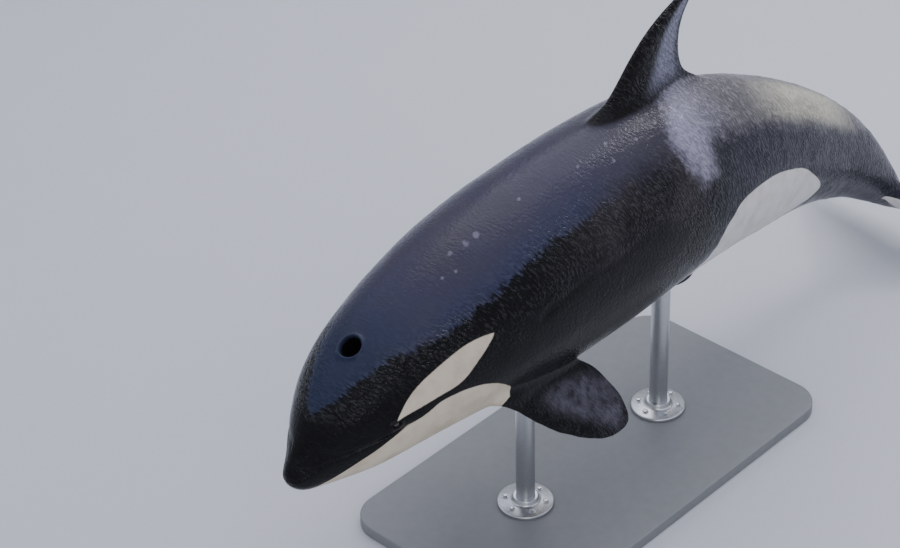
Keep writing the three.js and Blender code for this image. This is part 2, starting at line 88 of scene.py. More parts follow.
class MonotoneCurve:
    """Smooth curve through given points that doesn't swing past them."""

    def __init__(
        self,
        xs: Sequence[float],
        ys: Sequence[float],
        bend: Callable[[Array], Array] = lambda x: x,
    ) -> None:
        """Work out the slope at each point.

        Args:
            xs: Places of the points, rising.
            ys: Values at the points.
            bend: Change of the horizontal scale, such as a square root.
        """
        self.bend = bend
        self.xs = bend(np.asarray(xs, dtype=float))
        self.ys = np.asarray(ys, dtype=float)
        self.steps = np.diff(self.xs)
        rises = np.diff(self.ys) / self.steps
        slopes = np.concatenate(([rises[0]], np.zeros(len(rises) - 1), [rises[-1]]))
        for i in range(1, len(rises)):
            before, after = rises[i - 1], rises[i]
            if before * after > 0.0:
                first = 2.0 * self.steps[i] + self.steps[i - 1]
                second = self.steps[i] + 2.0 * self.steps[i - 1]
                slopes[i] = (first + second) / (first / before + second / after)
        self.slopes = slopes

    def __call__(self, x: float | Array) -> Array:
        """Values of the curve.

        Args:
            x: One place or an array of places, held within the curve's ends.

        Returns:
            The values, in the shape of x.
        """
        x = np.clip(self.bend(np.asarray(x, dtype=float)), self.xs[0], self.xs[-1])
        i = np.clip(np.searchsorted(self.xs, x, side="right") - 1, 0, len(self.steps) - 1)
        t = (x - self.xs[i]) / self.steps[i]
        rise = self.ys[i + 1] - self.ys[i]
        a = self.slopes[i] * self.steps[i] - rise
        b = rise - self.slopes[i + 1] * self.steps[i]
        return self.ys[i] + t * rise + t * (1.0 - t) * (a * (1.0 - t) + b * t)


def smooth_step(x: float | Array, low: float, high: float) -> Array:
    """Share from 0 at low to 1 at high, with level ends; low may lie above high."""
    t = np.clip((np.asarray(x, dtype=float) - low) / (high - low), 0.0, 1.0)
    return t * t * (3.0 - 2.0 * t)


def add_object(name: str, data: bpy.types.ID) -> Object:
    """Make an object of a mesh, lamp or camera and put it into the scene.

    Args:
        name: The object's name.
        data: What it shows.

    Returns:
        The object.
    """
    added = bpy.data.objects.new(name, data)
    bpy.context.scene.collection.objects.link(added)
    return added


def make_mesh(name: str, shape: Shape) -> Mesh:
    """Turn a shape, which is freed, into a mesh.

    Args:
        name: The mesh's name.
        shape: The shape.

    Returns:
        The mesh.
    """
    mesh = bpy.data.meshes.new(name)
    shape.to_mesh(mesh)
    shape.free()
    return mesh


@dataclass
class BodyForm:
    """The body as rings round a bent spine, as the solids have it.

    A place on the skin is a station, the share of the length from the snout, and an angle
    round the ring in radians, 0 at the left side and a quarter turn at the back.
    """

    length: float = 5.0
    spine_height: float = 1.43
    reference_station: float = 0.4
    widest: float = 0.45
    # Station, back, belly and half breadth, in thousandths of the length
    lines: Table = (
        (0, -33, -33, 0), (5, -23, -45, 10), (12, -17, -51, 14.5), (20, -9, -54, 19.5),
        (28, 1, -56, 25.5), (45, 21, -60, 37), (70, 40, -65, 51), (100, 56, -70, 60),
        (135, 68, -78, 66), (175, 78, -88, 71), (230, 88, -98, 77), (300, 96, -105, 80),
        (380, 99, -107, 80), (460, 97, -103, 77), (540, 90, -95, 70), (620, 78, -84, 59),
        (700, 63, -70, 45), (780, 47, -54, 31), (850, 34, -38, 21), (910, 23, -25, 14),
        (950, 15, -16, 10), (980, 8, -8, 7), (1000, 3, -3, 3),
    )
    # Station in thousandths and pitch of the spine in degrees, nose up
    pitches: Places = (
        (0, -9), (150, -9), (260, -0.5), (400, 0), (550, 14), (700, 24), (800, 35), (900, 46),
        (1000, 47),
    )
    # Station in thousandths and power of the ring's outline, 2 being an ellipse
    keels: Places = ((0, 2), (600, 2), (820, 1.75), (950, 1.8), (1000, 2))
    spine_steps: int = 1000
    steepest: float = 0.98
    search_block: int = 4000
    search_rounds: int = 14
    search_steps: Place = (1e-4, 1e-3)
    search_reach: Place = (0.02, 0.2)

    def __post_init__(self) -> None:
        """Make the curves and sum up the spine from its pitch."""
        stations, backs, bellies, breadths = np.array(self.lines, dtype=float).T
        scale = self.length / 1000.0
        self.back = MonotoneCurve(stations, backs * scale, np.sqrt)
        self.belly = MonotoneCurve(stations, bellies * scale, np.sqrt)
        self.breadth = MonotoneCurve(stations, breadths * scale, np.sqrt)
        self.pitch = MonotoneCurve(*np.array(self.pitches, dtype=float).T)
        self.keel = MonotoneCurve(*np.array(self.keels, dtype=float).T)
        middles = (np.arange(self.spine_steps) + 0.5) / self.spine_steps
        pitch = np.radians(self.pitch(middles * 1000.0))
        step = self.length / self.spine_steps
        travel = np.stack([np.cos(pitch), -np.sin(pitch)], axis=1) * step
        points = np.vstack([np.zeros((1, 2)), np.cumsum(travel, axis=0)])
        points -= points[round(self.reference_station * self.spine_steps)]
        self.spine_stations = np.linspace(0.0, 1.0, self.spine_steps + 1)
        self.spine_y = points[:, 0]
        self.spine_z = points[:, 1] + self.spine_height

    def spine(self, station: Array) -> tuple[Array, Array, Array]:
        """Points, forward and upward directions of the spine.

        Args:
            station: Stations, any shape.

        Returns:
            Three arrays with a last axis of 3.
        """
        station = np.asarray(station, dtype=float)
        pitch = np.radians(self.pitch(np.clip(station, 0.0, 1.0) * 1000.0))
        zero = np.zeros_like(pitch)
        y = np.interp(station, self.spine_stations, self.spine_y)
        z = np.interp(station, self.spine_stations, self.spine_z)
        forward = np.stack([zero, -np.cos(pitch), np.sin(pitch)], axis=-1)
        upward = np.stack([zero, np.sin(pitch), np.cos(pitch)], axis=-1)
        return np.stack([zero, y, z], axis=-1), forward, upward

    def girth(self, thousandths: Array) -> tuple[Array, Array, Array]:
        """Heights of back, belly and widest place over the spine, for stations in thousandths."""
        back, belly = self.back(thousandths), self.belly(thousandths)
        return back, belly, belly + self.widest * (back - belly)

    def section(self, station: Array, angle: Array) -> tuple[Array, Array]:
        """Breadth and height of a place on its ring.

        Args:
            station: Stations.
            angle: Angles round the ring, of the same shape.

        Returns:
            Distance to the left of the midline and height over the spine.
        """
        station = np.asarray(station, dtype=float)
        thousandths = np.clip(station, 0.0, 1.0) * 1000.0
        back, belly, middle = self.girth(thousandths)
        power = 2.0 / self.keel(thousandths)
        across, along = np.cos(angle), np.sin(angle)
        x = self.breadth(thousandths) * np.sign(across) * np.abs(across) ** power
        reach = np.where(along >= 0.0, back - middle, middle - belly)
        return x, middle + reach * np.sign(along) * np.abs(along) ** power

    def skin(self, station: Array, angle: Array) -> Array:
        """Points of the skin.

        Args:
            station: Stations.
            angle: Angles round the ring, of the same shape.

        Returns:
            The points, with a last axis of 3.
        """
        x, z = self.section(station, angle)
        point, _, upward = self.spine(station)
        point = point + upward * z[..., None]
        point[..., 0] += x
        return point

    def angle_at_height(self, station: Array, height: Array) -> Array:
        """Angle on the left side at which the skin has a height over the spine.

        Args:
            station: Stations.
            height: Heights over the spine, of the same shape.

        Returns:
            Angles in radians.
        """
        thousandths = np.asarray(station, dtype=float) * 1000.0
        back, belly, middle = self.girth(thousandths)
        reach = np.where(height >= middle, back - middle, middle - belly)
        return np.arcsin(np.clip((height - middle) / reach, -self.steepest, self.steepest))

    def locate(self, points: Array) -> tuple[Array, Array, Array]:
        """Places of points in the straightened body.

        Args:
            points: Points, with a last axis of 3.

        Returns:
            Station, distance to the left and height over the spine of each.
        """
        station = np.empty(len(points))
        for start in range(0, len(points), self.search_block):
            block = points[start : start + self.search_block]
            away = (block[:, 1:2] - self.spine_y) ** 2 + (block[:, 2:3] - self.spine_z) ** 2
            station[start : start + self.search_block] = self.spine_stations[np.argmin(away, axis=1)]
        spine, forward, _ = self.spine(station)
        ahead = np.einsum("ij,ij->i", points - spine, forward)
        station = np.clip(station - ahead / self.length, 0.0, 1.0)
        spine, _, upward = self.spine(station)
        return station, points[:, 0], np.einsum("ij,ij->i", points - spine, upward)

    def outside(
        self, station: Array, across: Array, height: Array
    ) -> tuple[Array, Array]:
        """Angle round the ring and distance out of the skin of located points.

        Args:
            station: Stations.
            across: Distances to the left.
            height: Heights over the spine.

        Returns:
            Angles in radians, from a quarter turn under the belly, and distances in metres.
        """
        thousandths = np.clip(station, 0.0005, 0.9995) * 1000.0
        back, belly, middle = self.girth(thousandths)
        reach = np.where(height >= middle, back - middle, middle - belly)
        half, power = self.breadth(thousandths), self.keel(thousandths)
        flat = (np.abs(across) / half) ** (power / 2.0) * np.sign(across)
        tall = (np.abs(height - middle) / reach) ** (power / 2.0) * np.sign(height - middle)
        size = np.hypot(flat, tall) ** (2.0 / power)
        radius = np.hypot(across, height - middle)
        return np.arctan2(tall, flat), radius * (1.0 - 1.0 / np.maximum(size, 1e-6))

    def holds(self, point: Vector) -> bool:
        """Whether a point lies inside the body."""
        station, across, height = self.locate(np.array([point]))
        return bool(self.outside(station, across, height)[1][0] < 0.0)

    def nearest(self, point: Sequence[float], guess: Place) -> Place:
        """Station and angle of the skin nearest to a point.

        Args:
            point: The point.
            guess: Station and angle to start from.

        Returns:
            Station and angle.
        """
        goal = np.asarray(point, dtype=float)
        place = np.array(guess, dtype=float)
        steps, reach = np.array(self.search_steps), np.array(self.search_reach)
        for _ in range(self.search_rounds):
            here = self.skin(place[0], place[1])
            slopes = np.stack(
                [
                    (self.skin(place[0] + steps[0], place[1]) - here) / steps[0],
                    (self.skin(place[0], place[1] + steps[1]) - here) / steps[1],
                ],
                axis=1,
            )
            move = np.linalg.lstsq(slopes, goal - here, rcond=None)[0]
            place += np.clip(move, -reach, reach)
            place[0] = np.clip(place[0], 0.001, 0.998)
        return float(place[0]), float(place[1])

    def skin_frame(self, station: float, angle: float) -> tuple[Vector, Vector, Vector, Vector]:
        """Point on the skin with the ways out, ahead and up along it.

        Args:
            station: Station of the place.
            angle: Its angle round the ring.

        Returns:
            The point and three unit directions square to each other.
        """
        here = self.skin(station, angle)
        ahead, behind = self.skin(station - 0.002, angle), self.skin(station + 0.002, angle)
        forward = Vector(ahead - behind).normalized()
        upward = Vector(self.skin(station, angle + 0.01) - self.skin(station, angle - 0.01))
        if math.cos(angle) < 0.0:
            upward.negate()
        upward = (upward - forward * upward.dot(forward)).normalized()
        outward = forward.cross(upward)
        if outward.dot(Vector(here - self.spine(station)[0])) < 0.0:
            outward.negate()
        return Vector(here), outward, forward, upward


@dataclass
class MouthLine:
    """Closed mouth: where it runs on the side of the head and how its lips stand."""

    # Distance behind the snout's tip and height from the spine, in millimetres
    places: Places = (
        (0, -165), (30, -151), (80, -128), (140, -104), (225, -74), (323, -54), (395, -49),
        (460, -50), (505, -52), (700, -40), (875, -30),
    )
    gape: float = 0.505
    groove: float = 0.012
    ridge: float = 0.004
    inner: float = 0.004
    outer: float = 0.015

    def __post_init__(self) -> None:
        """Make the curve of the line."""
        behind, height = np.array(self.places, dtype=float).T / 1000.0
        self.curve = MonotoneCurve(behind, height)

    def strength(self, behind: Array) -> Array:
        """How far the lips are formed: whole along the mouth, none past its corner."""
        return 1.0 - smooth_step(behind, self.gape - 0.05, self.gape + 0.02)


@dataclass
class Patch:
    """Block of the skin's cage from which a fin, eyelid or nostril is drawn.

    The block's vertices are named by two counts. `cells` gives, for each pair of counts,
    the row and column in the cage, and `places` the station and angle where it must lie.
    """

    cells: dict[GridIndex, GridIndex]
    places: dict[GridIndex, Place]
    fade_rows: float
    fade_columns: float
    offsets: dict[GridIndex, Vector] = field(default_factory=dict)


class Outgrowth:
    """Something drawn out of, or pressed into, a block of the skin."""

    def patch(self, form: BodyForm, cage: "SkinCage") -> Patch:
        """The block and where its vertices lie on the skin."""
        raise NotImplementedError

    def levels(self, form: BodyForm) -> Iterable[RingRule]:
        """For each further ring, a rule from a pair of counts to a point."""
        raise NotImplementedError


def foil(share: float) -> float:
    """Half thickness of a foil at a share of its chord, 1 at its thickest."""
    return math.sqrt(share) * (1.0 - share) / 0.385


@dataclass
class Fin(Outgrowth):
    """A fin drawn from the skin, as foil sections from its root to its tip."""

    shares: tuple[float, ...] = (0.0, 0.06, 0.17, 0.31, 0.46, 0.61, 0.76, 0.9, 1.0)
    rises: tuple[float, ...] = (0.045, 0.12, 0.22, 0.34, 0.46, 0.58, 0.7, 0.8, 0.88, 0.94, 0.98, 1.0)
    flare: float = 0.7
    fillet: float = 0.022
    fillet_rise: float = 0.13
    edge: float = 0.005
    halvings: int = 24
    inmost: float = 0.0
    outmost: float = 1.0
    fade_rows: float = 6.0
    fade_columns: float = 4.0
    # Level, leading edge, trailing edge and half thickness, all divided by outline_units
    outline: Table = ()
    outline_units: float = 1000.0
    lead: MonotoneCurve = field(init=False)
    trail: MonotoneCurve = field(init=False)
    half: MonotoneCurve = field(init=False)
    roots: list[float] = field(default_factory=list, init=False)

    def __post_init__(self) -> None:
        """Make the curves of the edges and of the half thickness."""
        level, *curves = np.array(self.outline, dtype=float).T / self.outline_units
        self.lead, self.trail, self.half = (MonotoneCurve(level, curve) for curve in curves)

    def edges(self, form: BodyForm, level: float) -> FoilEdges:
        """Leading edge, trailing edge, way across the blade and half thickness at a level.

        Args:
            form: The body.
            level: How far out the section lies, in the fin's own measure.

        Returns:
            Two points, a unit direction and a length.
        """
        raise NotImplementedError

    def crossing(self, form: BodyForm, share: float) -> float:
        """Level at which the middle of the blade comes out of the body at a chord share.

        Args:
            form: The body.
            share: Share of the chord, from the leading edge.

        Returns:
            The level.
        """
        low, high = self.inmost, self.outmost
        for _ in range(self.halvings):
            middle = (low + high) / 2.0
            lead, trail, _, _ = self.edges(form, middle)
            if form.holds(lead.lerp(trail, share)):
                low = middle
            else:
                high = middle
        return low

    def ring_point(self, form: BodyForm, index: GridIndex, rise: float) -> Vector:
        """Point of a ring round the fin.

        Args:
            form: The body.
            index: Count along the chord, and -1, 0 or 1 across the blade.
            rise: Share of the way from the root to the tip.

        Returns:
            The point.
        """
        share = self.shares[index[0]]
        level = self.roots[index[0]] + (self.outmost - self.roots[index[0]]) * rise
        lead, trail, across, half = self.edges(form, level)
        spread = max(0.0, 1.0 - rise / self.fillet_rise) ** 2
        thick = max(half * foil(share), min(self.edge, half))
        thick = thick * (1.0 + self.flare * spread) + self.fillet * spread
        ahead = (lead - trail).normalized() * (self.fillet * 1.5 * spread * max(0.0, 1.0 - 2.0 * share))
        return lead.lerp(trail, share) + ahead + across * (thick * index[1])

    def block(self, form: BodyForm, cage: "SkinCage", first_row: int, columns: Sequence[int]) -> Patch:
        """Block of the cage for a fin whose chord runs along the rows.

        Args:
            form: The body.
            cage: The skin's cage; not used.
            first_row: Row of the leading edge.
            columns: Columns for the counts -1, 0 and 1 across the blade.

        Returns:
            The block.
        """
        self.roots = [self.crossing(form, share) for share in self.shares]
        cells, places = {}, {}
        for m in range(len(self.shares)):
            for c in (-1, 0, 1):
                index = (m, c)
                row, column = first_row + m, columns[c + 1]
                cells[index] = (row, column)
                point = self.ring_point(form, index, 0.0)
                station, across, height = form.locate(np.array([point]))
                angle = form.outside(station, across, height)[0]
                places[index] = form.nearest(point, (float(station[0]), float(angle[0])))
        return Patch(cells, places, self.fade_rows, self.fade_columns)

    def levels(self, form: BodyForm) -> Iterable[RingRule]:
        """Rings from the root to the tip."""
        for rise in self.rises:
            yield lambda index, at=rise: self.ring_point(form, index, at)


@dataclass
class DorsalFin(Fin):
    """Upright falcate fin on the back."""

    # Height over the spine, leading edge, trailing edge and half thickness, in millimetres
    outline: Table = (
        (380, -190, 770, 78), (440, -110, 690, 60), (480, -58, 628, 49), (512, -14, 600, 43),
        (552, 62, 584, 39), (596, 119, 572, 36), (670, 188, 566, 31), (743, 266, 576, 26),
        (811, 358, 606, 21), (859, 455, 645, 16), (889, 535, 676, 12), (912, 606, 700, 8),
        (926, 676, 714, 4),
    )
    inmost: float = 0.38
    outmost: float = 0.926
    flare: float = 0.4
    fillet: float = 0.014
    root_station: float = 0.392

    def edges(self, form: BodyForm, level: float) -> FoilEdges:
        """Leading edge, trailing edge, way across and half thickness at a height.

        Args:
            form: The body.
            level: Height over the spine.

        Returns:
            Two points, a unit direction and a length.
        """
        z = form.spine_height + level
        lead = Vector((0.0, float(self.lead(level)), z))
        trail = Vector((0.0, float(self.trail(level)), z))
        return lead, trail, SIDEWAYS, float(self.half(level))

    def patch(self, form: BodyForm, cage: "SkinCage") -> Patch:
        """Two columns along the middle of the back, under the fin's root."""
        columns = [cage.top + 1, cage.top, cage.top - 1]
        return self.block(form, cage, cage.row_near(self.root_station), columns)


@dataclass
class Flipper(Fin):
    """Broad paddle swept back and down from the flank."""

    side: Side = Side.LEFT
    length: float = 0.652
    width: float = 0.35
    root: Place = (0.2305, math.radians(-39.0))
    root_station: float = 0.198
    outward: float = math.radians(20.0)
    drop: float = math.radians(34.0)
    twist: float = math.radians(-12.0)
    inmost: float = -0.4
    flare: float = 0.35
    fillet: float = 0.016
    fade_rows: float = 5.0
    fade_columns: float = 5.0
    outline_units: float = 1.0
    # Share of the length, leading and trailing edge in widths, half thickness in metres
    outline: Table = (
        (-0.16, 0.26, -0.3, 0.044), (0, 0.32, -0.37, 0.035), (0.15, 0.38, -0.5, 0.03),
        (0.35, 0.44, -0.6, 0.026), (0.6, 0.42, -0.58, 0.02), (0.8, 0.34, -0.43, 0.014),
        (0.92, 0.215, -0.27, 0.009), (0.98, 0.105, -0.13, 0.006), (1.0, 0.03, -0.03, 0.004),
    )

    def __post_init__(self) -> None:
        """Make the curves of the outline and the directions of the blade."""
        super().__post_init__()
        flat = math.cos(self.drop)
        self.span = Vector(
            (flat * math.sin(self.outward), flat * math.cos(self.outward), -math.sin(self.drop))
        )
        chord = Vector((0.0, -1.0, 0.0))
        chord = (chord - self.span * chord.dot(self.span)).normalized()
        self.chord = Matrix.Rotation(self.twist, 3, self.span) @ chord
        self.face = self.span.cross(self.chord)

    def edges(self, form: BodyForm, level: float) -> FoilEdges:
        """Leading edge, trailing edge, way across and half thickness at a share.

        Args:
            form: The body.
            level: Share of the flipper's length.

        Returns:
            Two points, a unit direction and a length.
        """
        centre = Vector(form.skin(*self.root)) + self.span * (level * self.length)
        lead = centre + self.chord * (float(self.lead(level)) * self.width)
        trail = centre + self.chord * (float(self.trail(level)) * self.width)
        points = [lead, trail, -self.face]
        if self.side is Side.RIGHT:
            points = [Vector((-p.x, p.y, p.z)) for p in points]
        return points[0], points[1], points[2], float(self.half(level))

    def patch(self, form: BodyForm, cage: "SkinCage") -> Patch:
        """Two columns low on the flank, along the blade's long root."""
        columns = cage.beside(cage.column_near(self.root[1]), self.side)
        return self.block(form, cage, cage.row_near(self.root_station), columns)


@dataclass
class Fluke(Fin):
    """One half of the tail's flat fin."""

    side: Side = Side.LEFT
    station: float = 0.95
    droop: float = 0.036
    flare: float = 0.3
    fillet: float = 0.012
    fade_rows: float = 3.0
    fade_columns: float = 11.0
    outmost: float = 0.65
    # Distance from the midline, leading and trailing edge behind the station, half thickness
    outline: Table = (
        (4, -262, 222, 62), (40, -215, 238, 54), (80, -170, 250, 44), (140, -112, 262, 34),
        (220, -48, 268, 27), (320, 26, 270, 21), (420, 98, 276, 17), (510, 168, 290, 13),
        (580, 228, 304, 9), (630, 284, 320, 6), (650, 318, 332, 4),
    )

    def edges(self, form: BodyForm, level: float) -> FoilEdges:
        """Leading edge, trailing edge, way across and half thickness at a reach.

        Args:
            form: The body.
            level: Distance from the midline.

        Returns:
            Two points, a unit direction and a length.
        """
        point, forward, upward = (Vector(v) for v in form.spine(self.station))
        sink = upward * (-self.droop * (level / self.outmost) ** 2)
        middle = point + sink + SIDEWAYS * (self.side.value * level)
        lead = middle - forward * float(self.lead(level))
        trail = middle - forward * float(self.trail(level))
        return lead, trail, upward, float(self.half(level))

    def patch(self, form: BodyForm, cage: "SkinCage") -> Patch:
        """Two columns on the side of the tail stock's end."""
        columns = cage.beside(cage.column_near(0.0), self.side)
        return self.block(form, cage, cage.row_count - 1 - len(self.shares), columns)


def ring_index(index: GridIndex) -> Vector:
    """Unit ring place of a vertex in a block of two cells each way, centre at zero."""
    direction = Vector((float(index[0]), float(index[1])))
    return direction.normalized() if direction.length > 0.0 else direction


@dataclass
class RingedHole(Outgrowth):
    """Round rim and hollow in the skin, such as eyelids or the nostril.

    `rings` gives, from the outside in, the half length, the half height and the depth out
    of the skin, in metres. The first ring lies in the cage itself.
    """

    place: Place
    rings: tuple[Triple, ...]
    cell_fade: float = 3.0
    turn: float = 0.0
    beak: float = 0.0

    def point(self, form: BodyForm, ring: Triple, index: GridIndex) -> Vector:
        """Point of a ring.

        Args:
            form: The body.
            ring: Half length, half height and height out of the skin.
            index: Counts -1, 0 or 1 ahead and up.

        Returns:
            The point.
        """
        centre, out, ahead, upward = form.skin_frame(*self.place)
        turn = Matrix.Rotation(self.turn, 3, out)
        unit = ring_index(index)
        drawn = 1.0 + self.beak * max(0.0, unit.x) ** 3
        flat = turn @ ahead * (unit.x * ring[0] * drawn) + turn @ upward * (unit.y * ring[1])
        return centre + flat + out * ring[2]

    def patch(self, form: BodyForm, cage: "SkinCage") -> Patch:
        """Two cells each way round the hole.

        Args:
            form: The body.
            cage: The skin's cage.

        Returns:
            The block.
        """
        row, column = cage.row_near(self.place[0]), cage.column_near(self.place[1], self.place[0])
        rising = -1 if math.cos(self.place[1]) < 0.0 else 1
        cells, places, offsets = {}, {}, {}
        outer = self.rings[0]
        for i in (-1, 0, 1):
            for k in (-1, 0, 1):
                index = (i, k)
                cells[index] = (row - i, column + k * rising)
                flat = self.point(form, (outer[0], outer[1], 0.0), index)
                places[index] = form.nearest(flat, self.place)
                lifted = self.point(form, outer, index)
                offsets[index] = lifted - flat
        return Patch(cells, places, self.cell_fade, self.cell_fade, offsets)

    def levels(self, form: BodyForm) -> Iterable[RingRule]:
        """Rings from the rim to the bottom."""
        for ring in self.rings[1:]:
            yield lambda index, at=ring: self.point(form, at, index)


@dataclass
class SkinCage:
    """Quad cage of the whole skin: rows at stations, columns round the body."""

    form: BodyForm
    mouth: MouthLine
    crown_steps: int = 30
    chin_steps: int = 14
    # Stations of the first rows, then first station, end and spacing or count of each stretch
    snout_rows: tuple[float, ...] = (0.0012, 0.0035, 0.0075, 0.0125, 0.0185, 0.0255, 0.033)
    head_rows: Triple = (0.041, 0.27, 0.0082)
    trunk_rows: Triple = (0.2735, 0.70, 0.0155)
    stock_gap: float = 0.0165
    stock_rows: tuple[float, int] = (0.886, 12)
    fluke_rows: tuple[float, float, int] = (0.8976, 0.982, 9)
    last_row: float = 0.9885
    tail_tip: float = 0.9905
    # Widest turns of the lips' columns, and stations over which the columns become even
    lip_turns: Place = (0.06, 0.22)
    lip_end: Place = (0.108, 0.185)
    # Share of the ridge beside the lips, and breadth over which the lips rise from the middle
    lip_side: float = 0.4
    lip_rise: float = 0.06

    def __post_init__(self) -> None:
        """Lay out the rows and columns."""
        stations = [*self.snout_rows, *np.arange(*self.head_rows), *np.arange(*self.trunk_rows)]
        stations += list(np.linspace(stations[-1] + self.stock_gap, *self.stock_rows))
        stations += [*np.linspace(*self.fluke_rows), self.last_row]
        self.stations = np.array(stations)
        self.row_count = len(stations)
        # Columns run up from the left corner of the mouth, over the back and under the chin
        self.top = 2 + self.crown_steps // 2
        self.column_count = self.crown_steps + self.chin_steps + 8
        rows, columns = np.meshgrid(self.stations, np.arange(self.column_count), indexing="ij")
        self.station_grid = rows.copy()
        self.angle_grid = self.column_angles(rows, columns)

    def column_angles(self, station: Array, column: Array) -> Array:
        """Angle of each column at each station, drawn together along the lips.

        Args:
            station: Stations.
            column: Columns, of the same shape.

        Returns:
            Angles in radians.
        """
        form, mouth = self.form, self.mouth
        line = form.angle_at_height(station, mouth.curve(station * form.length))
        thousandths = station * 1000.0
        depth = (form.back(thousandths) - form.belly(thousandths)) / 2.0
        radius = np.minimum(form.breadth(thousandths), depth)
        inner = np.minimum(mouth.inner / radius, self.lip_turns[0])
        outer = np.minimum(mouth.outer / radius, self.lip_turns[1])
        right = math.pi - line
        crown_end, half_turn = self.crown_steps + 2, self.crown_steps + 4
        crown = line + outer + (right - line - 2.0 * outer) * (column - 2) / self.crown_steps
        chin_sweep = math.pi + 2.0 * line - 2.0 * outer
        chin = right + outer + chin_sweep * (column - half_turn - 2) / self.chin_steps
        special = np.select(
            [
                column == 0,
                column == 1,
                column <= crown_end,
                column == crown_end + 1,
                column == half_turn,
                column == half_turn + 1,
                column < self.column_count - 1,
            ],
            [line, line + inner, crown, right - inner, right, right + inner, chin],
            default=line - inner + math.tau,
        )
        even = math.pi / 2.0 + (column - self.top) * math.tau / self.column_count
        return special + (even - special) * smooth_step(station, *self.lip_end)

    def row_near(self, station: float) -> int:
        """Row nearest to a station."""
        return int(np.argmin(np.abs(self.stations - station)))

    def column_near(self, angle: float, station: float = 0.5) -> int:
        """Column nearest to an angle at a station.

        Args:
            angle: The angle in radians.
            station: The station.

        Returns:
            The column.
        """
        columns = np.arange(self.column_count)
        angles = self.column_angles(np.full(self.column_count, station), columns)
        away = np.abs((angles - angle + math.pi) % math.tau - math.pi)
        return int(np.argmin(away))

    def mirrored(self, column: int) -> int:
        """Column at the same place on the other side of the body."""
        return (2 * self.top - column) % self.column_count

    def beside(self, middle: int, side: Side) -> list[int]:
        """Three columns about a middle one of the left side, or their mirror images."""
        columns = [middle - 1, middle, middle + 1]
        return columns if side is Side.LEFT else [self.mirrored(column) for column in columns]

    def warp(self, patch: Patch) -> None:
        """Draw the rows and columns round a block to the places that it asks for.

        Args:
            patch: The block, with its places and how far the change fades.
        """
        whole = math.tau
        centre = sorted(patch.cells.values())[len(patch.cells) // 2]
        moves: dict[GridIndex, Place] = {}
        for index, (row, column) in patch.cells.items():
            station, angle = patch.places[index]
            here = row, column % self.column_count
            turn = (angle - self.angle_grid[here] + math.pi) % whole - math.pi
            shift = station - self.station_grid[here]
            moves[(row, self.column_gap(column, centre[1]))] = (shift, turn)
        rows = [key[0] for key in moves]
        gaps = [key[1] for key in moves]
        for row in range(self.row_count):
            for column in range(self.column_count):
                gap = self.column_gap(column, centre[1])
                near = (min(max(row, min(rows)), max(rows)), min(max(gap, min(gaps)), max(gaps)))
                if near not in moves:
                    continue
                rows_off, columns_off = row - near[0], gap - near[1]
                far = math.hypot(rows_off / patch.fade_rows, columns_off / patch.fade_columns)
                share = 1.0 - float(smooth_step(far, 0.0, 1.0))
                self.station_grid[row, column] += moves[near][0] * share
                self.angle_grid[row, column] += moves[near][1] * share

    def column_gap(self, column: int, other: int) -> int:
        """Signed count of columns from one to another, the short way round."""
        half = self.column_count // 2
        return (column - other + half) % self.column_count - half

    def points(self) -> Array:
        """Cage points, with the lips raised along the mouth line.

        Returns:
            Points by row and column.
        """
        station, angle = self.station_grid, self.angle_grid
        x, z = self.form.section(station, angle)
        spine, _, upward = self.form.spine(station)
        half_turn = self.crown_steps + 4
        push = np.zeros(self.column_count)
        push[[0, half_turn]] = -self.mouth.groove
        for columns, share in ((1, self.lip_side), (2, 1.0)):
            beside = [columns, half_turn - columns, half_turn + columns, self.column_count - columns]
            push[beside] = self.mouth.ridge * share
        strength = self.mouth.strength(station * self.form.length)
        strength = strength * np.minimum(1.0, np.abs(x) / self.lip_rise)
        x = x + np.sign(x) * push[None, :] * strength
        result = spine + upward * z[..., None]
        result[..., 0] += x
        return result


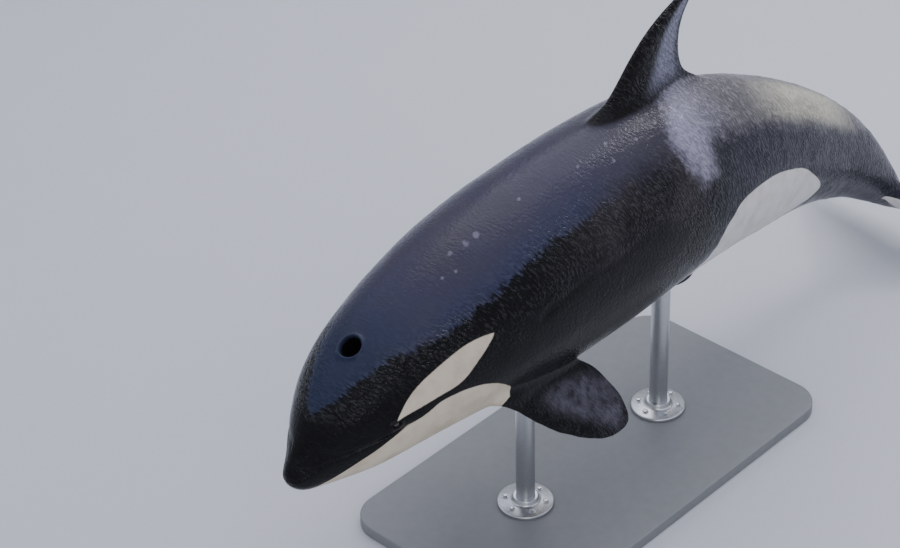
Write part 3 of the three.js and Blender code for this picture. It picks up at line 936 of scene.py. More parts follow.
class Skin:
    """The one continuous skin: cage, outgrowths, smooth surface and its measures."""

    def __init__(self, form: BodyForm, mouth: MouthLine, outgrowths: Sequence[Outgrowth]) -> None:
        """Keep the body's form and what grows out of it.

        Args:
            form: The body.
            mouth: The line of the mouth.
            outgrowths: What grows out, in order.
        """
        self.form = form
        self.cage = SkinCage(form, mouth)
        self.outgrowths = list(outgrowths)

    def build(self) -> Object:
        """Make the skin as a smooth mesh.

        Returns:
            The skin's object, with its modifiers applied.
        """
        patches = [growth.patch(self.form, self.cage) for growth in self.outgrowths]
        for patch in patches:
            self.cage.warp(patch)
        points = self.cage.points()
        shape = bmesh.new()
        grid = self.lay_grid(shape, points)
        for growth, patch in zip(self.outgrowths, patches):
            for index, offset in patch.offsets.items():
                row, column = patch.cells[index]
                grid[row][column % self.cage.column_count].co += offset
        for growth, patch in zip(self.outgrowths, patches):
            self.draw_out(shape, grid, growth, patch)
        bmesh.ops.recalc_face_normals(shape, faces=shape.faces)
        return self.smooth_object(shape)

    def lay_grid(self, shape: Shape, points: Array) -> list[list[Vert]]:
        """Draw the trunk as one ring extruded from row to row, closed at both ends.

        Args:
            shape: The mesh to fill.
            points: Places of the cage's vertices by row and column.

        Returns:
            The vertices by row and column.
        """
        made = bmesh.ops.create_circle(shape, segments=self.cage.column_count, radius=1.0)
        ring = made["verts"]
        grid = [ring]
        edges = list(shape.edges)
        for _ in range(1, self.cage.row_count):
            edges, ring = self.extrude_ring(shape, edges, ring)
            grid.append(ring)
        for row, ring in enumerate(grid):
            for column, vert in enumerate(ring):
                vert.co = Vector(points[row, column])
        first_edges = [edge for edge in shape.edges if all(v in set(grid[0]) for v in edge.verts)]
        self.close_end(shape, first_edges, grid[0], self.form.skin(0.0, 0.0))
        self.close_end(shape, edges, grid[-1], self.form.spine(self.cage.tail_tip)[0])
        return grid

    def extrude_ring(
        self, shape: Shape, edges: list[Edge], ring: list[Vert]
    ) -> tuple[list[Edge], list[Vert]]:
        """Extrude a closed ring once and keep the order of its vertices.

        Args:
            shape: The mesh.
            edges: The ring's edges.
            ring: Its vertices, in order.

        Returns:
            The new edges and the new vertices, in the same order.
        """
        made = bmesh.ops.extrude_edge_only(shape, edges=edges)["geom"]
        new_edges = [item for item in made if isinstance(item, Edge)]
        fresh = {item for item in made if isinstance(item, Vert)}
        following = []
        for vert in ring:
            others = (edge.other_vert(vert) for edge in vert.link_edges)
            following.append(next(other for other in others if other in fresh))
        return new_edges, following

    def close_end(
        self, shape: Shape, edges: list[Edge], ring: list[Vert], tip: Sequence[float]
    ) -> None:
        """Close an end ring by drawing it together at a tip."""
        _, last = self.extrude_ring(shape, edges, ring)
        bmesh.ops.pointmerge(shape, verts=last, merge_co=Vector(tip))

    def draw_out(
        self, shape: Shape, grid: list[list[Vert]], growth: Outgrowth, patch: Patch
    ) -> None:
        """Extrude a block of the skin through the levels of what grows there.

        Args:
            shape: The mesh.
            grid: The trunk's vertices by row and column.
            growth: What grows there.
            patch: The block.
        """
        count = self.cage.column_count
        verts = {index: grid[row][column % count] for index, (row, column) in patch.cells.items()}
        inside = set(verts.values())
        faces = [face for face in shape.faces if all(vert in inside for vert in face.verts)]
        for level in growth.levels(self.form):
            made = bmesh.ops.extrude_face_region(shape, geom=faces)["geom"]
            fresh = {tuple(item.co): item for item in made if isinstance(item, Vert)}
            verts = {index: fresh[tuple(vert.co)] for index, vert in verts.items()}
            bmesh.ops.delete(shape, geom=faces, context="FACES")
            faces = [item for item in made if isinstance(item, bmesh.types.BMFace)]
            for index, vert in verts.items():
                vert.co = level(index)

    def smooth_object(self, shape: Shape) -> Object:
        """Turn the cage into the smooth skin.

        Args:
            shape: The finished cage, which is freed.

        Returns:
            The skin's object.
        """
        cage_object = add_object("skin_cage", make_mesh("skin_cage", shape))
        rounder = cage_object.modifiers.new("smooth", "SUBSURF")
        rounder.levels = rounder.render_levels = 2
        graph = bpy.context.evaluated_depsgraph_get()
        mesh = bpy.data.meshes.new_from_object(cage_object.evaluated_get(graph))
        mesh.name = "orca_skin"
        bpy.data.objects.remove(cage_object)
        mesh.polygons.foreach_set("use_smooth", [True] * len(mesh.polygons))
        self.carve_and_measure(mesh)
        return add_object("orca_skin", mesh)

    def carve_and_measure(self, mesh: Mesh) -> None:
        """Press the folds into the skin and keep what the finish reads from each point.

        Args:
            mesh: The smooth skin.
        """
        count = len(mesh.vertices)
        points = np.empty(count * 3)
        mesh.vertices.foreach_get("co", points)
        points = points.reshape(count, 3)
        normals = np.empty(count * 3)
        mesh.vertices.foreach_get("normal", normals)
        normals = normals.reshape(count, 3)
        station, across, height = self.form.locate(points)
        angle, lift = self.form.outside(station, across, height)
        chart = SkinChart(points, station, angle, lift, across, height)
        depth = Relief().depth(chart)
        mesh.vertices.foreach_set("co", (points + normals * depth[:, None]).ravel())
        flow = np.stack([across, station * self.form.length, height], axis=1)
        carry = mesh.attributes.new("flow", "FLOAT_VECTOR", "POINT")
        carry.data.foreach_set("vector", flow.ravel())
        for name, values in Markings().measures(chart, self.form).items():
            carry = mesh.attributes.new(name, "FLOAT", "POINT")
            carry.data.foreach_set("value", values)


def make_growths() -> list[Outgrowth]:
    """Fins, eyelids and nostril, in the order in which they are drawn out.

    Returns:
        The outgrowths.
    """
    growths: list[Outgrowth] = [DorsalFin()]
    for side in Side:
        growths += [Flipper(side=side), Fluke(side=side), Eye(side).lids()]
    return growths + [Blowhole().hole()]


@dataclass
class Eye:
    """An eyeball and the lids round it."""

    side: Side
    station: float = 0.083
    angle: float = math.radians(12.0)
    radius: float = 0.023
    sunk: float = 0.017

    @property
    def place(self) -> Place:
        """Station and angle of the eye on its own side."""
        return self.station, self.angle if self.side is Side.LEFT else math.pi - self.angle

    def lids(self) -> RingedHole:
        """Swollen lids with an almond opening that closes on the ball.

        Returns:
            The lids.
        """
        rings = (
            (0.043, 0.0235, 0.002), (0.032, 0.0195, 0.0095), (0.0245, 0.0145, 0.0115),
            (0.0195, 0.0105, 0.0065), (0.0165, 0.0085, 0.0005), (0.012, 0.0065, -0.012),
        )
        return RingedHole(self.place, rings, cell_fade=2.5)


@dataclass
class Blowhole:
    """Single nostril, a little left of the middle of the head's top."""

    station: float = 0.0923
    angle: float = math.radians(86.0)
    turn: float = math.radians(-28.0)
    point: float = 0.24

    def hole(self) -> RingedHole:
        """Low rim round an open pit with a pointed front.

        Returns:
            The pit.
        """
        rings = (
            (0.07, 0.071, 0.001), (0.061, 0.062, 0.0055), (0.054, 0.0545, 0.0055),
            (0.0495, 0.05, -0.002), (0.047, 0.0475, -0.03), (0.03, 0.032, -0.085),
        )
        return RingedHole((self.station, self.angle), rings, 2.5, self.turn, self.point)


@dataclass
class SkinChart:
    """Where each point of the skin lies on the body, as arrays."""

    points: Array
    station: Array
    angle: Array
    lift: Array
    across: Array
    height: Array
    length: float = 5.0
    girth_radius: float = 0.35

    @property
    def flat(self) -> Array:
        """Distances along the body and round it, in metres, with both sides folded alike.

        Returns:
            An array of pairs.
        """
        folded = np.where(self.angle > math.pi / 2.0, math.pi - self.angle, self.angle)
        folded = np.where(folded < -math.pi / 2.0, -math.pi - folded, folded)
        return np.stack([self.station * self.length, folded * self.girth_radius], axis=1)

    def lay(self, places: Sequence[Place]) -> Array:
        """Put stations and angles in degrees on the same flat chart."""
        table = np.array(places, dtype=float)
        return np.stack([table[:, 0] * self.length, np.radians(table[:, 1]) * self.girth_radius], axis=1)


def rounded(points: Array, closed: bool, turns: int = 2) -> Array:
    """Cut the corners of a line of points.

    Args:
        points: The points.
        closed: Whether the last point joins the first.
        turns: How many times to cut.

    Returns:
        The rounder line.
    """
    for _ in range(turns):
        following = np.roll(points, -1, axis=0)
        first, second = points * 0.75 + following * 0.25, points * 0.25 + following * 0.75
        cut = np.stack([first, second], axis=1).reshape(-1, 2)
        points = cut if closed else np.vstack([points[:1], cut[:-2], points[-1:]])
    return points


def distance_to_line(places: Array, line: Array, closed: bool) -> Array:
    """Distance from each place to a line of points on the chart.

    Args:
        places: Places on the chart.
        line: Points of the line.
        closed: Whether the last point joins the first.

    Returns:
        Distances in metres.
    """
    ends = np.roll(line, -1, axis=0) if closed else line[1:]
    best = np.full(len(places), np.inf)
    for start, end in zip(line, ends):
        run = end - start
        share = np.clip((places - start) @ run / max(run @ run, 1e-12), 0.0, 1.0)
        away = places - start - share[:, None] * run
        best = np.minimum(best, np.hypot(away[:, 0], away[:, 1]))
    return best


def distance_into(places: Array, outline: Array) -> Array:
    """Distance inside a closed outline, negative outside it.

    Args:
        places: Places on the chart.
        outline: Points of the outline.

    Returns:
        Distances in metres.
    """
    inside = np.zeros(len(places), dtype=bool)
    for start, end in zip(outline, np.roll(outline, -1, axis=0)):
        if start[1] == end[1]:
            continue
        spans = (start[1] > places[:, 1]) != (end[1] > places[:, 1])
        meets = start[0] + (places[:, 1] - start[1]) * (end[0] - start[0]) / (end[1] - start[1])
        inside ^= spans & (places[:, 0] < meets)
    away = distance_to_line(places, outline, True)
    return np.where(inside, away, -away)


@dataclass
class Relief:
    """Folds, creases and soft unevenness of the skin."""

    # Stations and angles in degrees
    flank_crease: Places = (
        (0.245, 14.0), (0.27, 16.5), (0.3, 18.0), (0.33, 17.0), (0.36, 17.5), (0.385, 19.0),
    )
    melon_crease: Places = ((0.021, 62.0), (0.026, 40.0), (0.033, 22.0), (0.044, 12.0))
    crease_depth: float = 0.0035
    flank_crease_width: float = 0.013
    melon_crease_width: float = 0.014
    # Heights in metres and frequencies per metre of the noises
    wave_height: float = 0.0022
    wave_scale: float = 7.0
    wave_squeeze: float = 0.6
    finer_wave: float = 2.3
    wrinkle_height: float = 0.003
    wrinkle_pitch: Triple = (14.0, 26.0, 14.0)
    swell_height: float = 0.003
    swell_pitch: Triple = (15.0, 22.0, 22.0)

    def crease(self, chart: SkinChart, line: Sequence[Place], width: float) -> Array:
        """Depth of a crease along a line of stations and angles in degrees."""
        away = distance_to_line(chart.flat, rounded(chart.lay(line), False), False)
        return self.crease_depth * np.exp(-((away / width) ** 2))

    def depth(self, chart: SkinChart) -> Array:
        """Distance by which each point moves out along its normal.

        Args:
            chart: Where the points lie on the body.

        Returns:
            Distances in metres, negative inwards.
        """
        moved = -self.crease(chart, self.flank_crease, self.flank_crease_width)
        moved -= self.crease(chart, self.melon_crease, self.melon_crease_width)
        trunk = smooth_step(chart.station, 0.11, 0.2) * smooth_step(-chart.lift, -0.04, -0.01)
        limb = smooth_step(chart.lift, 0.03, 0.09) * (chart.station < 0.36)
        tail = trunk * smooth_step(chart.station, 0.42, 0.5)
        tail *= 1.0 - smooth_step(chart.station, 0.8, 0.9)
        for i, point in enumerate(chart.points):
            place = Vector((point[0], point[1] * self.wave_squeeze, point[2])) * self.wave_scale
            wave = noise.noise(place) + 0.5 * noise.noise(place * self.finer_wave)
            moved[i] += trunk[i] * wave * self.wave_height
            if tail[i] > 0.0:
                moved[i] += tail[i] * self.noise_at(point, self.swell_pitch) * self.swell_height
            if limb[i] > 0.0:
                moved[i] += limb[i] * self.noise_at(point, self.wrinkle_pitch) * self.wrinkle_height
        return moved

    def noise_at(self, point: Array, pitch: Triple) -> float:
        """Noise at a point, with a frequency for each axis."""
        return noise.noise(Vector([float(v) * scale for v, scale in zip(point, pitch)]))


@dataclass
class Markings:
    """Where the skin is white or grey and where painted sky sheen lies on the black back, as distances from
    each marking's or sheen's edge.
    """

    eye_patch: Places = (
        (0.0835, 15.0), (0.0849, 15.5), (0.1007, 24.3), (0.1171, 27.0), (0.1376, 27.5),
        (0.1609, 27.7), (0.1773, 25.9), (0.1925, 22.9), (0.194, 22.2), (0.1925, 21.5),
        (0.1817, 17.2), (0.1695, 13.4), (0.1546, 8.8), (0.1417, 8.1), (0.1249, 9.7),
        (0.1038, 11.3), (0.0849, 14.8),
    )
    # Chin, throat, belly and flank in one, as the left half
    underside: Places = (
        (0.006, -95.0), (0.008, -60.0), (0.018, -34.0), (0.0276, -20.9), (0.0378, -13.4),
        (0.0508, -5.6), (0.0717, 2.9), (0.0921, 4.2), (0.1106, 3.1), (0.1258, 5.4), (0.1401, 3.5),
        (0.1569, 0.8), (0.1742, -4.5), (0.1902, -12.2), (0.2046, -22.0), (0.2066, -24.5),
        (0.2056, -27.5), (0.2, -40.0), (0.205, -56.0), (0.235, -67.0), (0.29, -70.0),
        (0.36, -67.0), (0.42, -60.0), (0.465, -49.0), (0.4969, -27.2), (0.5029, -11.2),
        (0.518, 0.3), (0.5321, 5.6), (0.5508, 7.8), (0.5737, 10.0), (0.6015, 11.4),
        (0.6285, 10.5), (0.6543, 9.0), (0.6828, 1.8), (0.7107, -10.8), (0.72, -20.0),
        (0.718, -31.0), (0.7, -38.0), (0.66, -42.0), (0.61, -45.0), (0.57, -52.0), (0.56, -64.0),
        (0.6, -76.0), (0.66, -83.0), (0.68, -90.0), (0.68, -130.0), (0.006, -130.0),
    )
    saddle: Places = (
        (0.5, 100.0), (0.475, 84.0), (0.46, 72.0), (0.452, 62.0), (0.4475, 52.8), (0.4515, 42.4),
        (0.461, 32.0), (0.475, 23.0), (0.489, 27.0), (0.4885, 38.0), (0.492, 47.0), (0.52, 46.0),
        (0.58, 42.0), (0.64, 38.0), (0.7, 36.0), (0.77, 42.0), (0.82, 60.0), (0.84, 100.0),
    )
    # Where the painted sky sheen on the black back gives way to the bare black flank
    painted_sheen_line: Places = (
        (0.0, 150.0), (0.0333, 121.0), (0.0363, 99.0), (0.0431, 80.5), (0.0535, 69.0),
        (0.0693, 63.0), (0.0863, 57.5), (0.1064, 54.0), (0.1261, 46.0), (0.162, 40.8),
        (0.1909, 39.2), (0.2186, 39.2), (0.2514, 43.2), (0.2868, 44.1), (0.3254, 43.6),
        (0.362, 45.3), (0.3927, 43.7), (0.4251, 41.7), (0.52, 40.0), (0.7, 36.0), (1.0, 30.0),
    )
    bare_lift: float = 0.02
    lift_slope: float = 3.0
    sheen_lift_slope: float = 0.3
    fluke_margin: float = 0.032
    fluke_start: float = 0.885
    fluke_root: float = 0.05
    # Ripples everywhere, along the edge of the painted sheen, on the tail and on the limbs
    ripple_base: float = 0.14
    ripple_band: float = 0.85
    ripple_limb: float = 0.5
    band_middle: float = -0.05
    band_width: float = 0.09
    pit_end: float = 0.13
    fin_foot: float = 0.4

    def measures(self, chart: SkinChart, form: BodyForm) -> dict[str, Array]:
        """Distances in metres inside each marking, negative outside.

        Args:
            chart: Where the points lie on the body.
            form: The body.

        Returns:
            Arrays named for the attributes that the finish reads.
        """
        flat = chart.flat
        off_body = np.maximum(chart.lift - self.bare_lift, 0.0) * self.lift_slope
        eye_patch, underside, saddle = (
            distance_into(flat, rounded(chart.lay(outline), True))
            for outline in (self.eye_patch, self.underside, self.saddle)
        )
        white = np.maximum(eye_patch, underside) - off_body
        # Height above the line where the painted sky sheen on the black back ends
        stations, angles = np.array(self.painted_sheen_line).T
        edge = np.radians(MonotoneCurve(stations, angles)(chart.station))
        slate = flat[:, 1] - edge * chart.girth_radius - off_body * self.sheen_lift_slope
        tail = smooth_step(chart.station, 0.40, 0.5) * smooth_step(flat[:, 1], -0.25, 0.0)
        limb = smooth_step(chart.lift, 0.02, 0.08)
        band = np.exp(-(((slate - self.band_middle) / self.band_width) ** 2))
        ripple = self.ripple_band * (band * (1.0 - tail) + tail)
        on_fin, fin_sheen = self.on_dorsal_fin(chart, form)
        return {
            "white": np.maximum(white, self.under_flukes(chart)),
            "saddle": saddle - off_body,
            "slate": slate,
            "ripple": np.clip(self.ripple_base + ripple + self.ripple_limb * limb, 0.0, 1.0),
            "pit": smooth_step(-chart.lift, 0.006, 0.018) * (chart.station < self.pit_end),
            "fin": on_fin,
            "fin_sheen": fin_sheen,
            "limb_sheen": self.on_flipper(chart, form),
        }

    def on_dorsal_fin(self, chart: SkinChart, form: BodyForm) -> tuple[Array, Array]:
        """Shares of the dorsal fin's black and of the painted grey sheen near its trailing edge.

        Args:
            chart: Where the points lie on the body.
            form: The body.

        Returns:
            The two shares.
        """
        fin = DorsalFin()
        level = chart.points[:, 2] - form.spine_height
        lead, trail = fin.lead(level), fin.trail(level)
        behind = (chart.points[:, 1] - lead) / (trail - lead)
        high = chart.points[:, 2] > form.spine_height + self.fin_foot
        on_fin = smooth_step(chart.lift, 0.003, 0.018) * high
        # Painted grey sheen towards the trailing edge
        sheen = smooth_step(behind, 0.42, 0.66) * (1.0 - 0.7 * smooth_step(behind, 0.86, 0.97))
        sheen *= smooth_step(chart.lift, 0.0, 0.12)
        return on_fin, on_fin * sheen

    def on_flipper(self, chart: SkinChart, form: BodyForm) -> Array:
        """Share of the painted grey sheen along the middle of each flipper's blade.

        Args:
            chart: Where the points lie on the body.
            form: The body.

        Returns:
            The share.
        """
        flipper = Flipper()
        folded = chart.points.copy()
        folded[:, 0] = np.abs(folded[:, 0])
        away = folded - form.skin(*flipper.root)
        level = away @ np.array(flipper.span) / flipper.length
        ahead = away @ np.array(flipper.chord) / flipper.width
        across = smooth_step(ahead, 0.3, 0.08) * smooth_step(ahead, -0.56, -0.3)
        along = smooth_step(level, 0.06, 0.3) * smooth_step(level, 0.99, 0.85)
        return across * along * smooth_step(chart.lift, 0.03, 0.1)

    def under_flukes(self, chart: SkinChart) -> Array:
        """Distance inside the white of the flukes' lower face, negative elsewhere.

        Args:
            chart: Where the points lie on the body.

        Returns:
            Distances in metres.
        """
        fluke = Fluke()
        reach = np.abs(chart.across)
        behind = (chart.station - fluke.station) * chart.length
        inside = np.minimum(behind - fluke.lead(reach), fluke.trail(reach) - behind)
        inside = np.minimum(inside, fluke.outmost - reach) - self.fluke_margin
        inside = np.minimum(inside, reach - self.fluke_root)
        middle = -fluke.droop * (reach / fluke.outmost) ** 2
        lower = (chart.height < middle) & (chart.station > self.fluke_start)
        return np.where(lower, inside, -self.fluke_root)


class Wiring:
    """Short hand for laying out a material's or group's nodes."""

    def __init__(self, tree: bpy.types.NodeTree) -> None:
        """Keep the tree."""
        self.tree = tree

    def node(self, kind: str, settings: dict | None = None, **inputs: object) -> bpy.types.Node:
        """Add a node.

        Args:
            kind: The node's type.
            settings: Its properties.
            **inputs: Values or sockets for its inputs, by name with _ for spaces.

        Returns:
            The node.
        """
        node = self.tree.nodes.new(kind)
        for key, value in (settings or {}).items():
            setattr(node, key, value)
        for key, value in inputs.items():
            self.feed(node.inputs[key.replace("_", " ")], value)
        return node

    def feed(self, socket: Socket, value: object) -> None:
        """Link a socket to an input, or set the input's value.

        Args:
            socket: The input.
            value: A socket or a value.
        """
        if isinstance(value, Socket):
            self.tree.links.new(value, socket)
        else:
            socket.default_value = value

    def math(self, operation: str, *values: object) -> Socket:
        """Add a Math node and give its result.

        Args:
            operation: What it does.
            *values: Sockets or numbers.

        Returns:
            The result.
        """
        node = self.node("ShaderNodeMath", {"operation": operation})
        for socket, value in zip(node.inputs, values):
            self.feed(socket, value)
        return node.outputs[0]

    def vector(self, operation: str, *values: object) -> Socket:
        """Add a Vector Math node and give its result.

        Args:
            operation: What it does.
            *values: Sockets or vectors.

        Returns:
            The result.
        """
        node = self.node("ShaderNodeVectorMath", {"operation": operation})
        for socket, value in zip(node.inputs, values):
            self.feed(socket, value)
        return node.outputs["Value" if operation == "DISTANCE" else "Vector"]

    def times(self, first: object, *others: object) -> object:
        """Multiply sockets and numbers.

        Args:
            first: The first one.
            *others: The others, in order.

        Returns:
            The product.
        """
        for other in others:
            first = self.math("MULTIPLY", first, other)
        return first

    def noise(
        self, place: object, scale: object, detail: float, distortion: float = 0.0, output: str = "Fac"
    ) -> Socket:
        """Add a Noise Texture and give its value, or three of them for the output Color."""
        settings = {"Scale": scale, "Detail": detail, "Distortion": distortion}
        return self.node("ShaderNodeTexNoise", Vector=place, **settings).outputs[output]

    def bump(self, height: Socket, strength: object, depth: float, normal: Socket | None = None) -> Socket:
        """Bend the light with a height.

        Args:
            height: The height, from 0 to about 1.
            strength: How strong the bend is.
            depth: What a height of 1 is in metres.
            normal: The normal to start from, if it isn't the surface's own.

        Returns:
            The bent normal.
        """
        node = self.node("ShaderNodeBump", Height=height, Strength=strength, Distance=depth)
        if normal is not None:
            self.feed(node.inputs["Normal"], normal)
        return node.outputs["Normal"]

    def step(self, value: object, low: float, high: float) -> Socket:
        """Soft step from 0 at low to 1 at high.

        Args:
            value: What steps.
            low: Where it begins.
            high: Where it ends, maybe below low.

        Returns:
            The share.
        """
        node = self.node("ShaderNodeMapRange", {"interpolation_type": "SMOOTHSTEP"})
        self.feed(node.inputs["Value"], value)
        node.inputs["From Min"].default_value = low
        node.inputs["From Max"].default_value = high
        return node.outputs["Result"]

    def mix(self, share: object, first: object, second: object) -> Socket:
        """Mix two colours and give the result.

        Args:
            share: Share of the second one.
            first: The first one.
            second: The second one.

        Returns:
            The colour.
        """
        node = self.node("ShaderNodeMix", {"data_type": "RGBA"})
        self.feed(node.inputs["Factor"], share)
        for number, tone in ((6, first), (7, second)):
            self.feed(node.inputs[number], (*tone, 1.0) if isinstance(tone, tuple) else tone)
        return node.outputs[2]

    def blend(self, share: object, first: object, second: object) -> Socket:
        """Mix two numbers and give the result.

        Args:
            share: Share of the second one.
            first: The first one.
            second: The second one.

        Returns:
            The number.
        """
        node = self.node("ShaderNodeMix", {"data_type": "FLOAT"})
        self.feed(node.inputs["Factor"], share)
        self.feed(node.inputs[2], first)
        self.feed(node.inputs[3], second)
        return node.outputs[0]

    def attribute(self, name: str, output: str = "Fac") -> Socket:
        """Read a point's own measure."""
        return self.node("ShaderNodeAttribute", {"attribute_name": name}).outputs[output]


def new_material(name: str) -> tuple[Material, Wiring, bpy.types.Node]:
    """Start a material.

    Args:
        name: The material's name.

    Returns:
        The material, its wiring and its Principled BSDF.
    """
    material = bpy.data.materials.new(name)
    material.use_nodes = True
    return material, Wiring(material.node_tree), material.node_tree.nodes["Principled BSDF"]


def grain_group() -> bpy.types.NodeTree:
    """Fine unevenness that the plain finishes share, as a value from 0 to 1.

    Returns:
        The node group, which is made once.
    """
    name = "fine_grain"
    if name in bpy.data.node_groups:
        return bpy.data.node_groups[name]
    tree = bpy.data.node_groups.new(name, "ShaderNodeTree")
    tree.interface.new_socket("Place", in_out="INPUT", socket_type="NodeSocketVector")
    for entry_name in ("Scale", "Coarse Share"):
        tree.interface.new_socket(entry_name, in_out="INPUT", socket_type="NodeSocketFloat")
    tree.interface.new_socket("Value", in_out="OUTPUT", socket_type="NodeSocketFloat")
    wires = Wiring(tree)
    entry, leave = tree.nodes.new("NodeGroupInput"), tree.nodes.new("NodeGroupOutput")
    place, scale = entry.outputs["Place"], entry.outputs["Scale"]
    fine = wires.noise(place, scale, 3.0)
    coarse = wires.noise(place, wires.times(scale, 0.05), 2.0)
    wires.feed(leave.inputs["Value"], wires.blend(entry.outputs["Coarse Share"], fine, coarse))
    return tree


@dataclass(frozen=True)
class SkinFields:
    """Places, measures and noises that the tones of the skin are made from."""

    flow: Socket
    place: Socket
    along: Socket
    slate: Socket
    white_mask: Socket
    ragged: Socket
    clumps: Socket
    broad: Socket
    ridges: Socket


@dataclass(frozen=True)
class OrcaFinish:
    """Wet black skin with painted sky sheen on the back, fin and flippers, painted highlights and shade on
    the ridges, painted shade in the pits, a grey saddle and cream-white markings.

    A field ending in _span is the pair of values over which one look gives way to the next:
    distances behind the snout, distances inside a marking's edge, or values of a noise.
    """

    black: Triple = (0.0042, 0.0038, 0.0045)
    # Painted sky sheen: the back is black skin, and these tones stand in for reflected light
    melon_sheen: Triple = (0.02, 0.026, 0.052)
    blue_slate: Triple = (0.034, 0.038, 0.072)
    slate: Triple = (0.04, 0.037, 0.062)
    grey_slate: Triple = (0.046, 0.041, 0.058)
    rear_slate: Triple = (0.045, 0.041, 0.055)
    # Painted bluish sheen on the black flank of the tail
    tail_slate: Triple = (0.028, 0.028, 0.04)
    # Painted reflection: a plum band on the black middle flank below the sheen line
    plum_reflection: Triple = (0.034, 0.029, 0.031)
    # Grey saddle marking; its front streak is made lilac and brighter by painted sky sheen
    saddle_streak_and_sheen: Triple = (0.33, 0.31, 0.4)
    saddle_grey: Triple = (0.15, 0.14, 0.145)
    # Painted pale highlight on the top of the tail
    saddle_highlight: Triple = (0.56, 0.53, 0.42)
    fin_black: Triple = (0.006, 0.0052, 0.0058)
    # Painted sheen on the rear of the black dorsal fin
    painted_fin_sheen: Triple = (0.2, 0.2, 0.27)
    # Painted highlight on the crests of the wet ridges
    crest_highlight: Triple = (0.4, 0.38, 0.4)
    # Painted sheen on the black flippers
    painted_limb_sheen: Triple = (0.08, 0.075, 0.1)
    cream: Triple = (0.66, 0.57, 0.44)
    ash_white: Triple = (0.74, 0.71, 0.69)
    white_shade: Triple = (0.86, 0.84, 0.8)
    scuff: Triple = (0.16, 0.15, 0.19)
    # Painted shade in the blowhole's pit and the eyelids' opening
    pit_shade: Triple = (0.001, 0.001, 0.001)
    # Distances behind the snout
    melon_span: Place = (0.8, 0.4)
    high_start_span: Place = (0.35, 1.0)
    soft_start_span: Place = (1.5, 1.95)
    rear_span: Place = (1.6, 2.2)
    reflection_start_span: Place = (1.2, 1.9)
    reflection_end_span: Place = (4.3, 3.2)
    tail_span: Place = (2.25, 2.7)
    ash_span: Place = (1.9, 2.5)
    streak_end_span: Place = (2.3, 2.7)
    highlight_start_span: Place = (2.75, 3.25)
    highlight_end_span: Place = (4.0, 3.55)
    # Distances inside the edge of a marking or above the line of the painted sheen
    crisp_edge_span: Place = (0.0, 0.03)
    soft_edge_span: Place = (-0.04, 0.11)
    high_edge_span: Place = (0.02, 0.14)
    reflection_edge_span: Place = (-0.26, -0.06)
    highlight_lower_span: Place = (0.0, 0.09)
    highlight_upper_span: Place = (0.33, 0.2)
    saddle_edge_span: Place = (-0.045, 0.05)
    white_edge: float = 0.003
    # How far ridges and noises move the edges, in metres
    ridge_shift: float = 0.02
    clump_shift: float = 0.07
    saddle_shift: float = 0.08
    broad_shift: float = 0.12
    saddle_cover: float = 0.85
    # Values of a noise or of the ridges
    reflection_noise_span: Place = (0.3, 0.6)
    grey_noise_span: Place = (0.42, 0.75)
    blade_noise_span: Place = (-0.4, 0.25)
    dull_noise_span: Place = (0.4, 0.7)
    wet_noise_span: Place = (0.35, 0.7)
    patch_noise_span: Place = (0.4, 0.62)
    ridge_span: Place = (0.36, 0.66)
    trough_span: Place = (0.75, 0.3)
    crest_span: Place = (0.95, 1.3)
    # Shares of painted shade in the ridges' troughs and painted highlight on their crests
    trough_shade_cover: float = 0.28
    crest_highlight_cover: float = 0.05
    saddle_crest_highlight_cover: float = 0.12
    # Frequencies of the noises, per metre
    ragged_pitch: Triple = (26.0, 46.0, 26.0)
    ridge_pitch: Triple = (38.0, 84.0, 38.0)
    lump_pitch: Triple = (60.0, 90.0, 60.0)
    ridge_slant: float = 0.5
    ridge_bend: Triple = (0.03, 0.03, 0.03)
    # Scale, detail and distortion of the noises
    ragged_noise: Triple = (1.0, 3.0, 0.3)
    clump_noise: Triple = (16.0, 3.0, 0.5)
    broad_noise: Triple = (3.2, 3.0, 0.0)
    bend_noise: Triple = (9.0, 1.0, 0.0)
    ridge_noise: Triple = (1.0, 1.5, 0.3)
    lump_noise: Triple = (1.0, 2.0, 0.3)
    dull_noise: Triple = (9.0, 3.0, 0.0)
    wet_noise: Triple = (14.0, 3.0, 0.0)
    patch_noise: Triple = (5.0, 2.0, 0.0)
    pebble_noise: Triple = (72.0, 1.0, 0.0)
    grain_noise: Triple = (260.0, 2.0, 0.0)
    # Depths in metres and strengths of the bumps
    ridge_depth: float = 0.007
    pebble_depth: float = 0.004
    grain_depth: float = 0.0008
    grain_strength: float = 0.3
    pebble_strength: Place = (0.5, 0.2)
    patch_strength: Place = (0.35, 1.0)
    white_ripple: float = 0.25
    refraction: float = 1.34
    sheen_level: float = 0.28
    glossy: float = 0.16
    satin: float = 0.28
    white_rough: float = 0.4
    pit_rough: float = 0.9
    # Stations and angles in degrees of the small pale scuffs, and their radii in metres
    scuffs: tuple[Triple, ...] = (
        (0.1991, 75.8, 0.016), (0.213, 74.2, 0.019), (0.2252, 74.6, 0.02), (0.1926, 65.0, 0.011),
        (0.1809, 67.7, 0.011), (0.2775, 75.8, 0.012), (0.3456, 70.4, 0.013),
        (0.3877, 73.5, 0.014), (0.3813, 62.2, 0.012), (0.417, 66.2, 0.014),
    )
    scuff_fray: float = 2.2
    scuff_core: float = 0.35
    scuff_cover: float = 0.75

    def material(self, form: BodyForm) -> Material:
        """Make the finish.

        Args:
            form: The body, for the places of the scuffs.

        Returns:
            The material.
        """
        material, wires, shader = new_material("wet_orca_skin")
        fields = self.fields(wires)
        base = self.with_scuffs(wires, form, fields, self.dark_tone(wires, fields))
        base = wires.mix(fields.white_mask, base, self.white_tone(wires, fields))
        wires.feed(shader.inputs["Base Color"], base)
        wires.feed(shader.inputs["Roughness"], self.roughness(wires, fields))
        shader.inputs["IOR"].default_value = self.refraction
        shader.inputs["Specular IOR Level"].default_value = self.sheen_level
        wires.feed(shader.inputs["Normal"], self.rippled(wires, fields))
        return material

